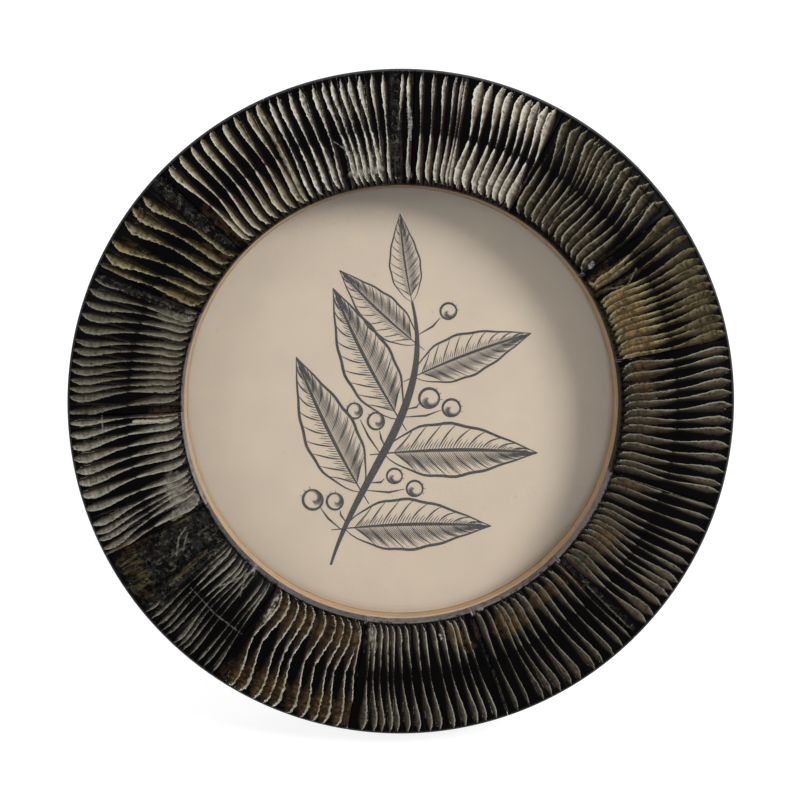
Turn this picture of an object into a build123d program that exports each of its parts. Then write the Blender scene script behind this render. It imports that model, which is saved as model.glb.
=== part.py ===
from build123d import *
import os
from math import asin, cos, degrees, radians, sin

# Round table-top photo frame, in millimetres. Fourteen carved horn plates are glued to a
# turned wood ring, which holds the glass, the print and the back. The frame leans back on
# its lower edge and on a hinged leg. +X is the viewer's right, the front faces -Y, +Z is up,
# and the origin is on the table under the middle of the whole frame.

os.makedirs("parts", exist_ok=True)

# How it stands
lean_angle = 15.0
leg_open_angle = 25.0
overrun = 1.0

# What lies in the rabbet, from the front
glass_radius = 31.75
glass_depth = 1.8
glass_arris = 0.2
rabbet_clearance = 0.35
stack_gap = 0.1
photo_depth = 0.3
filler_depth = 1.0
board_depth = 2.4
board_clearance = 0.2
cover_depth = 0.4

# Wood ring
lip_cover = 2.85
lip_depth = 2.6
back_edge_chamfer = 0.6

# Horn plates
horn_setback = 0.3
horn_width = 15.25
horn_edge_depth = 3.2
horn_crest_rise = 1.8
horn_round = 0.7
seam_gap = 0.06
plate_seams = [1.9, 28.7, 53.9, 78.2, 107.6, 134.8, 161, 189.3, 214.7, 242.9, 268.3, 294.7, 313.9, 335.5]
groove_counts = [15, 13, 13, 13, 15, 13, 14, 11, 10, 12, 13, 6, 9, 13]
outer_slants = [-1.2, -2.2, -0.9, -1.2, -0.6, -1.0, -1.6, -0.2, -0.4, -1.2, -2.0, -2.6, -0.5, -1.4]
inner_slants = [0.7, 1.3, 0.5, 1.2, 0.5, 1.0, 0.6, -0.4, 0.6, 0.8, 1.5, 1.9, 0.4, 0.9]
file_radius = 0.5
waist_dip = 0.05
outer_border = 0.5
inner_border = 0.7

# Turn buttons that hold the back in
button_count = 4
button_start_angle = 45.0
button_depth = 0.8
button_screw_end_radius = 2.7
button_tip_radius = 1.7
button_reach = 8.3
button_seat_gap = 0.05
button_edge_round = 0.2
screw_radius = 0.9
screw_head_radius = 1.7
screw_head_depth = 0.9
screw_slot_width = 0.45
screw_slot_depth = 0.4
screw_slot_turn = 30.0
screw_bite = 4.5
running_clearance = 0.05

# Hinge of the leg, with its pin this far below the top of the glass
hinge_drop = 17.75
hinge_width = 12.6
middle_knuckle_width = 4.8
knuckle_side_gap = 0.15
pin_radius = 0.8
leaf_depth = 0.7
barrel_clearance = 0.3
leaf_height = 9.5
leaf_corner_round = 1.2
stop_tab_height = 4.6
stop_gap = 0.05
rivet_radius = 0.6
rivet_head_radius = 1.15
rivet_head_depth = 0.5
rivet_bite = 1.5
bracket_width = 9.0
bracket_height = 13.0

# Leg
leg_board_depth = 1.6
leg_cover_depth = 0.3
leg_rest_gap = 0.25
leg_top_half_width = 6.4
leg_foot_half_width = 12.4
leg_foot_round = 4.5

# Depths from the back face of the ring
board_front = cover_depth + board_depth
filler_front = board_front + filler_depth
photo_front = filler_front + photo_depth
glass_back = photo_front + stack_gap
glass_front = glass_back + glass_depth
ring_depth = glass_front + lip_depth
horn_edge = ring_depth + horn_edge_depth
horn_crest = horn_edge + horn_crest_rise

# Radii of the ring and its plates, all from the glass
rabbet_radius = glass_radius + rabbet_clearance
lip_radius = glass_radius - lip_cover
horn_inner_radius = lip_radius + horn_setback
outer_radius = horn_inner_radius + horn_width
horn_half_width = horn_width / 2
horn_middle_radius = horn_inner_radius + horn_half_width
dome_radius = (horn_half_width**2 + horn_crest_rise**2) / (2 * horn_crest_rise)
button_circle = (rabbet_radius + outer_radius) / 2

# Hinge and leg
hinge_height = glass_radius - hinge_drop
knuckle_radius = pin_radius + running_clearance + leaf_depth
axis_depth = knuckle_radius + barrel_clearance
leg_depth = leg_board_depth + 2 * leg_cover_depth
leg_front = axis_depth - leg_rest_gap
leg_back = leg_front - leg_depth
leg_top = -(knuckle_radius + barrel_clearance + leg_cover_depth)
leg_lean = lean_angle - leg_open_angle


def ahead(angle):
    """The direction that a face looks when it leans back from upright by this angle."""
    return Vector(0, -cos(radians(angle)), sin(radians(angle)))


def uphill(angle):
    """The direction that runs up such a face."""
    return Vector(0, sin(radians(angle)), cos(radians(angle)))


def leaning(angle, point):
    """A plane whose Z looks ahead and whose Y runs uphill."""
    return Plane(origin=point, x_dir=(1, 0, 0), z_dir=ahead(angle))


# The ring stands on the foot of its back chamfer, and the leg's rear face ends at the table
ring_rise = (outer_radius - back_edge_chamfer) * cos(radians(lean_angle))
hinge_offset = uphill(lean_angle) * hinge_height - ahead(lean_angle) * axis_depth
leg_run = (ring_rise + hinge_offset.Z + leg_back * sin(radians(leg_lean))) / cos(radians(leg_lean))
leg_reach = (hinge_offset + ahead(leg_lean) * leg_back - uphill(leg_lean) * leg_run).Y

# The nearest point of the front is on the dome of the lowest plate
dome_middle = ahead(lean_angle) * (horn_crest - dome_radius) - uphill(lean_angle) * horn_middle_radius
front_reach = dome_middle.Y - dome_radius

FACE = leaning(lean_angle, (0, -(front_reach + leg_reach) / 2, ring_rise))
HINGE = FACE.from_local_coords((0, hinge_height, -axis_depth))
LEG = leaning(leg_lean, HINGE)
RING_AXIS = Axis(FACE.origin, -FACE.z_dir)


def ring_point(angle, radius, depth):
    """A point at this clock angle, radius and height above the ring's back face."""
    turn = radians(angle)
    return FACE.from_local_coords(Vector(radius * sin(turn), radius * cos(turn), depth))


def section_plane(angle):
    """The plane of the ring's section at this clock angle: X is radial and Y is depth."""
    radial = (ring_point(angle, outer_radius, 0) - FACE.origin).normalized()
    return Plane(origin=FACE.origin, x_dir=radial, z_dir=radial.cross(FACE.z_dir))


def dome_height(radius):
    """Height of the horn's dome over the ring's back face at this radius."""
    aside = radius - horn_middle_radius
    return horn_crest - dome_radius + dome_radius * cos(asin(aside / dome_radius))


def stroke_plane(start, end):
    """The plane of a round file that runs from start to end along its lowest line."""
    run = (end - start).normalized()
    lift = (FACE.z_dir - run * FACE.z_dir.dot(run)).normalized()
    return Plane(origin=start - run * overrun + lift * file_radius, z_dir=run)


# Wood ring with its lip in front of the glass and pilot holes for the button screws
with BuildPart() as frame_core:
    with BuildSketch(section_plane(0)):
        with BuildLine():
            Polyline(
                (rabbet_radius, 0),
                (outer_radius - back_edge_chamfer, 0),
                (outer_radius, back_edge_chamfer),
                (outer_radius, ring_depth),
                (lip_radius, ring_depth),
                (lip_radius, glass_front),
                (rabbet_radius, glass_front),
                close=True,
            )
        make_face()
    revolve(axis=RING_AXIS)
    with BuildSketch(FACE):
        with PolarLocations(button_circle, button_count, button_start_angle):
            Circle(screw_radius)
    extrude(amount=screw_bite, mode=Mode.SUBTRACT)
frame_core.part.label = "frame_core"
export_step(frame_core.part, "parts/frame_core.step")


# Horn plates: a domed sector each, filed across in pairs of strokes that meet at the crest
seam_ends = plate_seams[1:] + [plate_seams[0] + 360]
seam_share = degrees(seam_gap / horn_middle_radius)
for number, seam in enumerate(plate_seams):
    plate_arc = seam_ends[number] - seam - seam_share
    groove_pitch = plate_arc / groove_counts[number]
    with BuildPart() as horn_segment:
        with BuildSketch(section_plane(seam + seam_share / 2)) as profile:
            with BuildLine():
                Polyline(
                    (horn_inner_radius, horn_edge),
                    (horn_inner_radius, ring_depth),
                    (outer_radius, ring_depth),
                    (outer_radius, horn_edge),
                )
                ThreePointArc(
                    (outer_radius, horn_edge),
                    (horn_middle_radius, horn_crest),
                    (horn_inner_radius, horn_edge),
                )
            make_face()
            fillet(profile.vertices().group_by(Axis.Y)[-1], radius=horn_round)
        revolve(axis=RING_AXIS, revolution_arc=plate_arc)
        for groove in range(groove_counts[number]):
            waist_angle = seam + seam_share / 2 + groove_pitch * (groove + 0.5)
            waist = ring_point(waist_angle, horn_middle_radius, horn_crest - waist_dip)
            for end_radius, slant in (
                (outer_radius - outer_border, outer_slants[number]),
                (horn_inner_radius + inner_border, inner_slants[number]),
            ):
                end = ring_point(waist_angle + slant, end_radius, dome_height(end_radius))
                with BuildSketch(stroke_plane(waist, end)):
                    Circle(file_radius)
        extrude(amount=2 * horn_half_width, mode=Mode.SUBTRACT)
    label = f"horn_segment_{number + 1:02d}"
    horn_segment.part.label = label
    export_step(horn_segment.part, f"parts/{label}.step")


# Glass
with BuildPart() as glass_disc:
    with BuildSketch(FACE.offset(glass_back)):
        Circle(glass_radius)
    extrude(amount=glass_depth)
    chamfer(glass_disc.edges().filter_by(GeomType.CIRCLE), length=glass_arris)
glass_disc.part.label = "glass_disc"
export_step(glass_disc.part, "parts/glass_disc.step")

# Paper print behind the glass
with BuildPart() as photo_insert:
    with BuildSketch(FACE.offset(filler_front)):
        Circle(glass_radius)
    extrude(amount=photo_depth)
photo_insert.part.label = "photo_insert"
export_step(photo_insert.part, "parts/photo_insert.step")

# Card that presses the print forward
with BuildPart() as filler_card:
    with BuildSketch(FACE.offset(board_front)):
        Circle(glass_radius)
    extrude(amount=filler_depth)
filler_card.part.label = "filler_card"
export_step(filler_card.part, "parts/filler_card.step")

# Back board, with blind holes for the hinge's rivets
rivet_places = [
    (side * (hinge_width / 2 - rivet_head_radius - running_clearance - leaf_corner_round / 2),
     hinge_height + leaf_height - rivet_head_radius - leaf_corner_round)
    for side in (-1, 1)
]
with BuildPart() as back_board:
    with BuildSketch(FACE.offset(cover_depth)):
        Circle(rabbet_radius - board_clearance)
    extrude(amount=board_depth)
    with BuildSketch(FACE.offset(cover_depth)):
        with Locations(rivet_places):
            Circle(rivet_radius + running_clearance)
    extrude(amount=rivet_bite, mode=Mode.SUBTRACT)
back_board.part.label = "back_board"
export_step(back_board.part, "parts/back_board.step")

# Velvet on the back board
with BuildPart() as back_cover:
    with BuildSketch(FACE):
        Circle(rabbet_radius - board_clearance)
        with Locations(rivet_places):
            Circle(rivet_radius + running_clearance, mode=Mode.SUBTRACT)
    extrude(amount=cover_depth)
back_cover.part.label = "back_cover"
export_step(back_cover.part, "parts/back_cover.step")


def button_plane(number, height):
    """The plane of a turn button: Z looks out of the back, X points to the ring's middle."""
    angle = button_start_angle + number * 360 / button_count
    point = ring_point(angle, button_circle, -height)
    inward = FACE.from_local_coords((0, 0, -height)) - point
    return Plane(origin=point, x_dir=inward, z_dir=-FACE.z_dir)


# Brass turn buttons, each a separate piece that swings on its screw
for number in range(button_count):
    with BuildPart() as turn_button:
        with BuildSketch(button_plane(number, button_seat_gap)):
            Circle(button_screw_end_radius)
            with Locations((button_reach - button_tip_radius, 0)):
                Circle(button_tip_radius)
            make_hull()
            Circle(screw_radius + running_clearance, mode=Mode.SUBTRACT)
        extrude(amount=button_depth)
        rim = turn_button.faces().sort_by(Axis(FACE.origin, -FACE.z_dir))[-1].outer_wire().edges()
        fillet(rim, radius=button_edge_round)
    label = f"turn_button_{number + 1}"
    turn_button.part.label = label
    export_step(turn_button.part, f"parts/{label}.step")

# Slotted round-head screws through the buttons into the ring
head_seat = button_seat_gap + button_depth + running_clearance
with BuildPart() as turn_button_screws:
    for number in range(button_count):
        with BuildSketch(button_plane(number, head_seat)):
            Circle(screw_radius)
        extrude(amount=-(head_seat + screw_bite))
        with BuildSketch(button_plane(number, head_seat)):
            Circle(screw_head_radius)
        extrude(amount=screw_head_depth)
    head_rims = turn_button_screws.faces().group_by(Axis(FACE.origin, FACE.z_dir))[0].edges()
    fillet(head_rims, radius=screw_head_depth - screw_slot_depth)
    for number in range(button_count):
        with BuildSketch(button_plane(number, head_seat + screw_head_depth - screw_slot_depth)):
            Rectangle(2 * (screw_head_radius + overrun), screw_slot_width, rotation=screw_slot_turn)
        extrude(amount=screw_slot_depth + overrun, mode=Mode.SUBTRACT)
turn_button_screws.part.label = "turn_button_screws"
export_step(turn_button_screws.part, "parts/turn_button_screws.step")


def hinge_section(side, plane):
    """The section plane of the hinge barrel at this distance along the pin."""
    return Plane(origin=HINGE + Vector(side, 0, 0), x_dir=plane.y_dir, z_dir=(1, 0, 0))


# Fixed leaf of the hinge, with its two outer knuckles
side_knuckle_width = (hinge_width - middle_knuckle_width) / 2 - knuckle_side_gap
middle_space = middle_knuckle_width + 2 * knuckle_side_gap
with BuildPart() as hinge_plate:
    with BuildSketch(FACE):
        with Locations((0, hinge_height + leaf_height / 2)):
            RectangleRounded(hinge_width, leaf_height, leaf_corner_round)
        for side in (-1, 1):
            with Locations((side * (middle_space + side_knuckle_width) / 2, hinge_height + leaf_height / 4)):
                Rectangle(side_knuckle_width, leaf_height / 2)
        with Locations((0, hinge_height)):
            Rectangle(middle_space, 2 * (knuckle_radius + barrel_clearance), mode=Mode.SUBTRACT)
    extrude(amount=-leaf_depth)
    for start in (-hinge_width / 2, middle_space / 2):
        with BuildSketch(hinge_section(start, FACE)):
            Circle(knuckle_radius)
        extrude(amount=side_knuckle_width)
    with BuildSketch(hinge_section(-hinge_width / 2 - overrun, FACE)):
        Circle(pin_radius + running_clearance)
    extrude(amount=hinge_width + 2 * overrun, mode=Mode.SUBTRACT)
    with BuildSketch(FACE):
        with Locations(rivet_places):
            Circle(rivet_radius + running_clearance)
    extrude(amount=-leaf_depth, mode=Mode.SUBTRACT)
hinge_plate.part.label = "hinge_plate"
export_step(hinge_plate.part, "parts/hinge_plate.step")

# Hinge pin
with BuildPart() as hinge_pin:
    with BuildSketch(hinge_section(-hinge_width / 2, FACE)):
        Circle(pin_radius)
    extrude(amount=hinge_width)
hinge_pin.part.label = "hinge_pin"
export_step(hinge_pin.part, "parts/hinge_pin.step")

# Domed rivets that hold the fixed leaf to the back board
with BuildPart() as plate_rivets:
    with BuildSketch(FACE.offset(-leaf_depth)):
        with Locations(rivet_places):
            Circle(rivet_radius)
    extrude(amount=leaf_depth + cover_depth + rivet_bite)
    with BuildSketch(FACE.offset(-leaf_depth)):
        with Locations(rivet_places):
            Circle(rivet_head_radius)
    extrude(amount=-rivet_head_depth)
    head_rims = plate_rivets.faces().group_by(Axis(FACE.origin, FACE.z_dir))[0].edges()
    fillet(head_rims, radius=rivet_head_depth / 2)
plate_rivets.part.label = "plate_rivets"
export_step(plate_rivets.part, "parts/plate_rivets.step")

# Bracket of the leg: the middle knuckle, a leaf on the leg's back and the tab that stops it
bracket_rivet_places = [
    (side * (bracket_width / 2 - rivet_head_radius - leaf_corner_round / 2),
     -(bracket_height - rivet_head_radius - leaf_corner_round))
    for side in (-1, 1)
]
tab_clear = leaf_depth + stop_gap
with BuildPart() as leg_bracket:
    with BuildSketch(hinge_section(-middle_knuckle_width / 2, LEG)):
        Circle(knuckle_radius)
    extrude(amount=middle_knuckle_width)
    with BuildSketch(LEG.offset(leg_back)):
        with Locations((0, -(bracket_height + knuckle_radius + barrel_clearance) / 2)):
            RectangleRounded(
                bracket_width, bracket_height - knuckle_radius - barrel_clearance, leaf_corner_round
            )
        with Locations((0, -bracket_height / 4)):
            Rectangle(middle_knuckle_width, bracket_height / 2)
    extrude(amount=-leaf_depth)
    with BuildSketch(FACE.offset(-tab_clear)):
        with Locations((0, hinge_height + stop_tab_height / 2)):
            Rectangle(middle_knuckle_width, stop_tab_height)
    extrude(amount=-leaf_depth)
    with BuildSketch(hinge_section(-middle_knuckle_width / 2 - overrun, LEG)):
        Circle(pin_radius + running_clearance)
    extrude(amount=middle_knuckle_width + 2 * overrun, mode=Mode.SUBTRACT)
    with BuildSketch(LEG.offset(leg_back)):
        with Locations(bracket_rivet_places):
            Circle(rivet_radius + running_clearance)
    extrude(amount=-leaf_depth, mode=Mode.SUBTRACT)
leg_bracket.part.label = "leg_bracket"
export_step(leg_bracket.part, "parts/leg_bracket.step")


# Outline of the leg's board, which widens to a foot with rounded corners
foot_end = -(leg_run + leg_depth)
with BuildSketch(LEG.offset(leg_back + leg_cover_depth)) as board_outline:
    with BuildLine():
        Polyline(
            (leg_top_half_width, leg_top),
            (leg_foot_half_width, foot_end),
            (-leg_foot_half_width, foot_end),
            (-leg_top_half_width, leg_top),
            close=True,
        )
    make_face()
    fillet(board_outline.vertices().group_by(Axis.Y)[0], radius=leg_foot_round)

# Wood board of the leg, cut level where it stands on the table
with BuildPart() as easel_leg:
    extrude(board_outline.sketch, amount=leg_board_depth)
    split(bisect_by=Plane.XY, keep=Keep.TOP)
    with BuildSketch(LEG.offset(leg_back + leg_cover_depth)):
        with Locations(bracket_rivet_places):
            Circle(rivet_radius + running_clearance)
    extrude(amount=leg_board_depth / 2, mode=Mode.SUBTRACT)
easel_leg.part.label = "easel_leg"
export_step(easel_leg.part, "parts/easel_leg.step")

# Velvet sleeve round the leg, open at the foot
with BuildPart() as leg_cover:
    with BuildSketch(LEG.offset(leg_back)):
        add(board_outline.sketch_local)
        offset(amount=leg_cover_depth)
    extrude(amount=leg_depth)
    extrude(board_outline.sketch, amount=leg_board_depth, mode=Mode.SUBTRACT)
    split(bisect_by=Plane.XY, keep=Keep.TOP)
    with BuildSketch(LEG.offset(leg_back)):
        with Locations(bracket_rivet_places):
            Circle(rivet_radius + running_clearance)
    extrude(amount=leg_cover_depth, mode=Mode.SUBTRACT)
leg_cover.part.label = "leg_cover"
export_step(leg_cover.part, "parts/leg_cover.step")

# Rivets that hold the bracket to the leg
with BuildPart() as bracket_rivets:
    with BuildSketch(LEG.offset(leg_back - leaf_depth)):
        with Locations(bracket_rivet_places):
            Circle(rivet_radius)
    extrude(amount=leaf_depth + leg_cover_depth + leg_board_depth / 2)
    with BuildSketch(LEG.offset(leg_back - leaf_depth)):
        with Locations(bracket_rivet_places):
            Circle(rivet_head_radius)
    extrude(amount=-rivet_head_depth)
    head_rims = bracket_rivets.faces().group_by(Axis(LEG.origin, LEG.z_dir))[0].edges()
    fillet(head_rims, radius=rivet_head_depth / 2)
bracket_rivets.part.label = "bracket_rivets"
export_step(bracket_rivets.part, "parts/bracket_rivets.step")
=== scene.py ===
import bmesh
import bpy
from math import cos, pi, radians, sin, sqrt
from mathutils import Matrix, Quaternion, Vector


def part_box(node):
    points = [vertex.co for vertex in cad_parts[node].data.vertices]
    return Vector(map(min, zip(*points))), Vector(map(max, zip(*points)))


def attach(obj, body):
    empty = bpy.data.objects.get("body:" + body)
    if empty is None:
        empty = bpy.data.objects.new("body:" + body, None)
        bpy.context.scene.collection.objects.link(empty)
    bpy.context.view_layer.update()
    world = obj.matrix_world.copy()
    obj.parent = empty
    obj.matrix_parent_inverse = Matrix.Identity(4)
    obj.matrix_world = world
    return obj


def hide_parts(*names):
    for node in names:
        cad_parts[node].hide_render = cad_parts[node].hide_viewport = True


# Round table-top photo frame. Fourteen filed horn plates are glued round a turned wood ring,
# which holds the glass, a print, a velvet back and a hinged leg. Sizes are in millimetres on
# the ring's own face plane: x to the right, y up the frame, z forward from the ring's back.
# Clock angles are degrees clockwise from the top, and reach is the distance from the middle.

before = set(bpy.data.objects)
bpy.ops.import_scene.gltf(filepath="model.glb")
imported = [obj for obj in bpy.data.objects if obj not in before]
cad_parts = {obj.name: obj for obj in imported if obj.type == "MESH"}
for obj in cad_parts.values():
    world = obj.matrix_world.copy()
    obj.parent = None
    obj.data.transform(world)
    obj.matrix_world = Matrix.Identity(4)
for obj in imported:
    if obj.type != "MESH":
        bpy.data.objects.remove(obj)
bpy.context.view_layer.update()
degree = pi / 180

# How the frame leans, and the ring with what lies in it
lean = 15.0
glass_middle_depth = 5.1
glass_front = 6.0
lip_radius = 28.9
ring_face = 8.6
outer_radius = 44.45
rabbet_radius = 32.1
photo_front = 4.1
lip_round = 0.35
back_round = 0.6
ring_steps = 360
ring_corner = 40

# Horn plates
horn_inner_radius = 29.2
horn_edge = 11.8
horn_crest = 13.6
horn_round = 0.7
horn_seam = 0.04
horn_seam_round = 0.12
stroke_rim = 44.05
stroke_foot = 29.45
waist_reach = 36.4
file_radius = 0.5
mesh_step = 0.09
wall_rows = 10
corner_rows = 8
plate_corner = 60

# Inked sprig on the print. A leaf row is its place on the stem from 0 to 1, its side and its
# length. A berry row is its place on the stem, its side, how far it fans out and its stalk.
ink_lift = 0.02
leaf_length = 18.0
leaf_width = 6.8
leaf_bend = 1.6
berry_radius = 1.4
stem_corners = ((-9.5, -22.5), (-5.5, -9.0), (5.0, -1.0), (1.5, 13.5))
sprig_leaves = (
    (0.13, 1, 20.0), (0.27, -1, 20.5), (0.43, 1, 21.0), (0.57, -1, 20.0), (0.74, 1, 17.0),
    (0.86, -1, 14.5), (1.0, 0, 12.0),
)
sprig_berries = (
    (0.28, 1, 2, 7.0), (0.31, 1, -10, 3.8), (0.12, -1, 6, 6.0), (0.15, -1, -8, 3.4), (0.42, -1, 2, 7.2),
    (0.45, -1, -10, 4.0), (0.58, 1, 2, 7.0), (0.61, 1, -10, 3.8), (0.89, 1, 4, 5.4),
)

# Tones of the finishes, as red, green and blue from 0 to 255
black_horn = (7, 6, 7)
warm_horn = (98, 82, 66)
stained_horn = (54, 40, 28)
golden_horn = (112, 86, 50)
bark_black = (11, 11, 12)
bark_grey = (34, 33, 31)
bark_scale = (104, 102, 90)
bark_grain = (98, 93, 74)
bark_moss = (78, 70, 42)
flaked_horn = (158, 147, 121)
# greys of resin smears and of the painted highlight on the inner wall
highlight_and_resin_grey = (106, 98, 103)
highlight_and_resin_white = (160, 156, 152)
# grey of the painted highlight on the outer rim's rounded edge
rim_highlight_grey = (86, 84, 86)
outer_grey = (36, 33, 32)
lip_wood = (166, 140, 112)
lip_gold = (184, 134, 72)
lip_shadow = (70, 50, 34)
ring_stain = (26, 21, 18)
print_paper = (180, 163, 146)
pale_paper = (196, 179, 156)
paper_speck = (150, 128, 100)
ink_black = (20, 16, 15)
ink_faded = (64, 54, 46)
glass_white = (255, 255, 255)
glass_green = (250, 253, 252)
velvet_black = (15, 13, 15)
velvet_nap = (58, 52, 56)
brass_gold = (206, 170, 104)
brass_brown = (122, 88, 46)
steel_white = (176, 176, 172)
steel_grey = (110, 106, 100)
card_grey = (150, 140, 126)
board_brown = (120, 92, 66)

# Studio. The camera looks at a point near the middle of the face, and a lamp row is its name, its
# place from that point in metres, its width in metres and its power.
aim = (-0.29, 0.72, horn_edge)
camera_azimuth = -1.6
camera_elevation = 19.6
camera_roll = 0.6
camera_distance = 0.3
camera_seen_width = 0.10636
film_width = 36
floor_half = 3.0
floor_grey = 0.3
floor_glow = 0.86
room_light = 0.4
lamps = (
    ("key", (0.48, -0.4, 0.4), 0.3, 5.3),
    ("fill", (-0.6, -0.5, 0.35), 0.5, 1.7),
    ("back", (0.25, 0.6, 0.45), 0.5, 1.2),
)


# Values of a node tree, written as sums


class Value:
    """A number or colour that a node gives, so that a finish is written as sums."""

    def __init__(self, tree, socket):
        self.tree = tree
        self.socket = socket

    def __add__(self, other):
        return maths("ADD", self, other)

    def __radd__(self, other):
        return maths("ADD", other, self)

    def __sub__(self, other):
        return maths("SUBTRACT", self, other)

    def __rsub__(self, other):
        return maths("SUBTRACT", other, self)

    def __mul__(self, other):
        return maths("MULTIPLY", self, other)

    def __truediv__(self, other):
        return maths("DIVIDE", self, other)

    def __rtruediv__(self, other):
        return maths("DIVIDE", other, self)

    def __gt__(self, other):
        return maths("GREATER_THAN", self, other)


def tree_of(*values):
    """The node tree of the first of these that a node gives."""
    return next(value.tree for value in values if isinstance(value, Value))


def plug(socket, value):
    """Sets a socket, or links it to a value."""
    if isinstance(value, Value):
        value = value.socket
    if isinstance(value, bpy.types.NodeSocket):
        socket.id_data.links.new(value, socket)
    else:
        socket.default_value = value


def add_node(tree, kind, inputs=(), **settings):
    """A new node with its settings and inputs, each input by its name or place."""
    made = tree.nodes.new(kind)
    for name, value in settings.items():
        setattr(made, name, value)
    for name, value in dict(inputs).items():
        plug(made.inputs[name], value)
    return made


def maths(operation, *inputs):
    tree = tree_of(*inputs)
    made = add_node(tree, "ShaderNodeMath", enumerate(inputs), operation=operation)
    return Value(tree, made.outputs[0])


def clamped(value, low, high):
    return maths("MINIMUM", maths("MAXIMUM", value, low), high)


def vectors(operation, first, second):
    made = add_node(first.tree, "ShaderNodeVectorMath", {0: first, 1: second}, operation=operation)
    return Value(first.tree, made.outputs["Vector"])


def smooth(value, low, high):
    """A soft step from 0 to 1 as the value goes from low to high."""
    inputs = {0: value, 1: low, 2: high}
    made = add_node(value.tree, "ShaderNodeMapRange", inputs, interpolation_type="SMOOTHSTEP")
    return Value(value.tree, made.outputs[0])


def combined(x, y, z):
    tree = tree_of(x, y, z)
    return Value(tree, add_node(tree, "ShaderNodeCombineXYZ", {0: x, 1: y, 2: z}).outputs[0])


def parts_of(vector):
    split = add_node(vector.tree, "ShaderNodeSeparateXYZ", {0: vector})
    return [Value(vector.tree, socket) for socket in split.outputs]


def cloudy(vector, scale, detail, roughness=0.5, twist=0.0):
    """Soft random tone from 0 to 1."""
    inputs = {"Vector": vector, "Scale": scale, "Detail": detail, "Roughness": roughness, "Distortion": twist}
    return Value(vector.tree, add_node(vector.tree, "ShaderNodeTexNoise", inputs).outputs[0])


def shaped(value, points):
    """A profile curve through the given points, read at a value from 0 to 1."""
    made = add_node(value.tree, "ShaderNodeFloatCurve", {"Value": value})
    curve = made.mapping.curves[0]
    for place, point in enumerate(points):
        if place < len(curve.points):
            curve.points[place].location = point
        else:
            curve.points.new(*point)
    made.mapping.update()
    return Value(value.tree, made.outputs[0])


def new_group(kind, name, inputs, outputs):
    """A node group with named inputs and outputs, listed by their kind, and its two ends."""
    tree = bpy.data.node_groups.new(name, kind)
    for end, sockets in (("INPUT", inputs), ("OUTPUT", outputs)):
        for form, labels in sockets.items():
            for label in labels:
                tree.interface.new_socket(label, in_out=end, socket_type=f"NodeSocket{form}")
    given = tree.nodes.new("NodeGroupInput").outputs
    result = tree.nodes.new("NodeGroupOutput").inputs
    return tree, given, result


def placed_object(name, data):
    """A new object in the scene, at the origin: a mesh, a lamp or a camera."""
    made = bpy.data.objects.new(name, data)
    bpy.context.scene.collection.objects.link(made)
    return made


def made_from(tree, name, **sizes):
    """The plain mesh that a geometry tree makes with these inputs, as an object."""
    made = placed_object(name, bpy.data.meshes.new(name))
    modifier = made.modifiers.new("making", "NODES")
    modifier.node_group = tree
    for item in tree.interface.items_tree:
        if item.in_out == "INPUT":
            modifier[item.identifier] = sizes[item.name]
    graph = bpy.context.evaluated_depsgraph_get()
    mesh = bpy.data.meshes.new_from_object(
        made.evaluated_get(graph), preserve_all_data_layers=True, depsgraph=graph
    )
    made.modifiers.remove(modifier)
    made.data = mesh
    mesh.name = name
    return made


def point_cloud(name, places, **values):
    """A helper of loose points with a number each, which a geometry tree reads."""
    mesh = bpy.data.meshes.new(name)
    mesh.from_pydata([tuple(place) for place in places], [], [])
    for label, numbers in values.items():
        mesh.attributes.new(label, "FLOAT", "POINT").data.foreach_set("value", [float(n) for n in numbers])
    return placed_object(name, mesh)


def put_away(*helpers):
    for helper in helpers:
        bpy.data.objects.remove(helper)


def shape_of(tree, helper):
    """The points or mesh of a helper object."""
    return add_node(tree, "GeometryNodeObjectInfo", {"Object": helper}).outputs["Geometry"]


def named(tree, label):
    """A number that the points of a geometry tree carry."""
    node = add_node(tree, "GeometryNodeInputNamedAttribute", {"Name": label}, data_type="FLOAT")
    return Value(tree, node.outputs["Attribute"])


def hand_out(tree, shape, given, result):
    """Ends a geometry tree: plain meshes, in the material given."""
    real = add_node(tree, "GeometryNodeRealizeInstances", {"Geometry": shape})
    inputs = {"Geometry": real.outputs[0], "Material": given["Finish"]}
    plug(result[0], add_node(tree, "GeometryNodeSetMaterial", inputs).outputs[0])


# The face plane in the frame's own metres, set from where the glass lies
glass_low, glass_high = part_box("glass_disc")
ahead = Vector((0, -cos(radians(lean)), sin(radians(lean))))
uphill = Vector((0, sin(radians(lean)), cos(radians(lean))))
face_middle = (glass_low + glass_high) / 2 - ahead * glass_middle_depth / 1000
FACE = Matrix.Translation(face_middle) @ Matrix((
    (1, 0, 0, 0), (0, uphill.y, ahead.y, 0), (0, uphill.z, ahead.z, 0), (0, 0, 0, 1)
)) @ Matrix.Scale(0.001, 4)


def linear(tone):
    """A colour from 0 to 255 as the shaders want it."""
    return tuple(
        (c / 255) / 12.92 if c / 255 <= 0.04045 else ((c / 255 + 0.055) / 1.055) ** 2.4 for c in tone
    ) + (1.0,)


def new_finish(name, **constants):
    """A material with one surface shader, whose constants are set on its own sockets."""
    made = bpy.data.materials.new(name)
    made.use_nodes = True
    tree = made.node_tree
    tree.nodes.clear()
    out = tree.nodes.new("ShaderNodeOutputMaterial")
    shader = tree.nodes.new("ShaderNodeBsdfPrincipled")
    plug(out.inputs["Surface"], shader.outputs[0])
    for label, value in constants.items():
        shader.inputs[label.replace("_", " ")].default_value = value
    return made, tree, shader


def object_place(tree):
    """Where a point lies on the piece, in millimetres."""
    coordinates = tree.nodes.new("ShaderNodeTexCoord").outputs["Object"]
    return vectors("MULTIPLY", Value(tree, coordinates), (1000, 1000, 1000))


def read(tree, name):
    """A number that the piece's mesh carries."""
    return Value(tree, add_node(tree, "ShaderNodeAttribute", attribute_name=name).outputs["Fac"])


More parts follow.
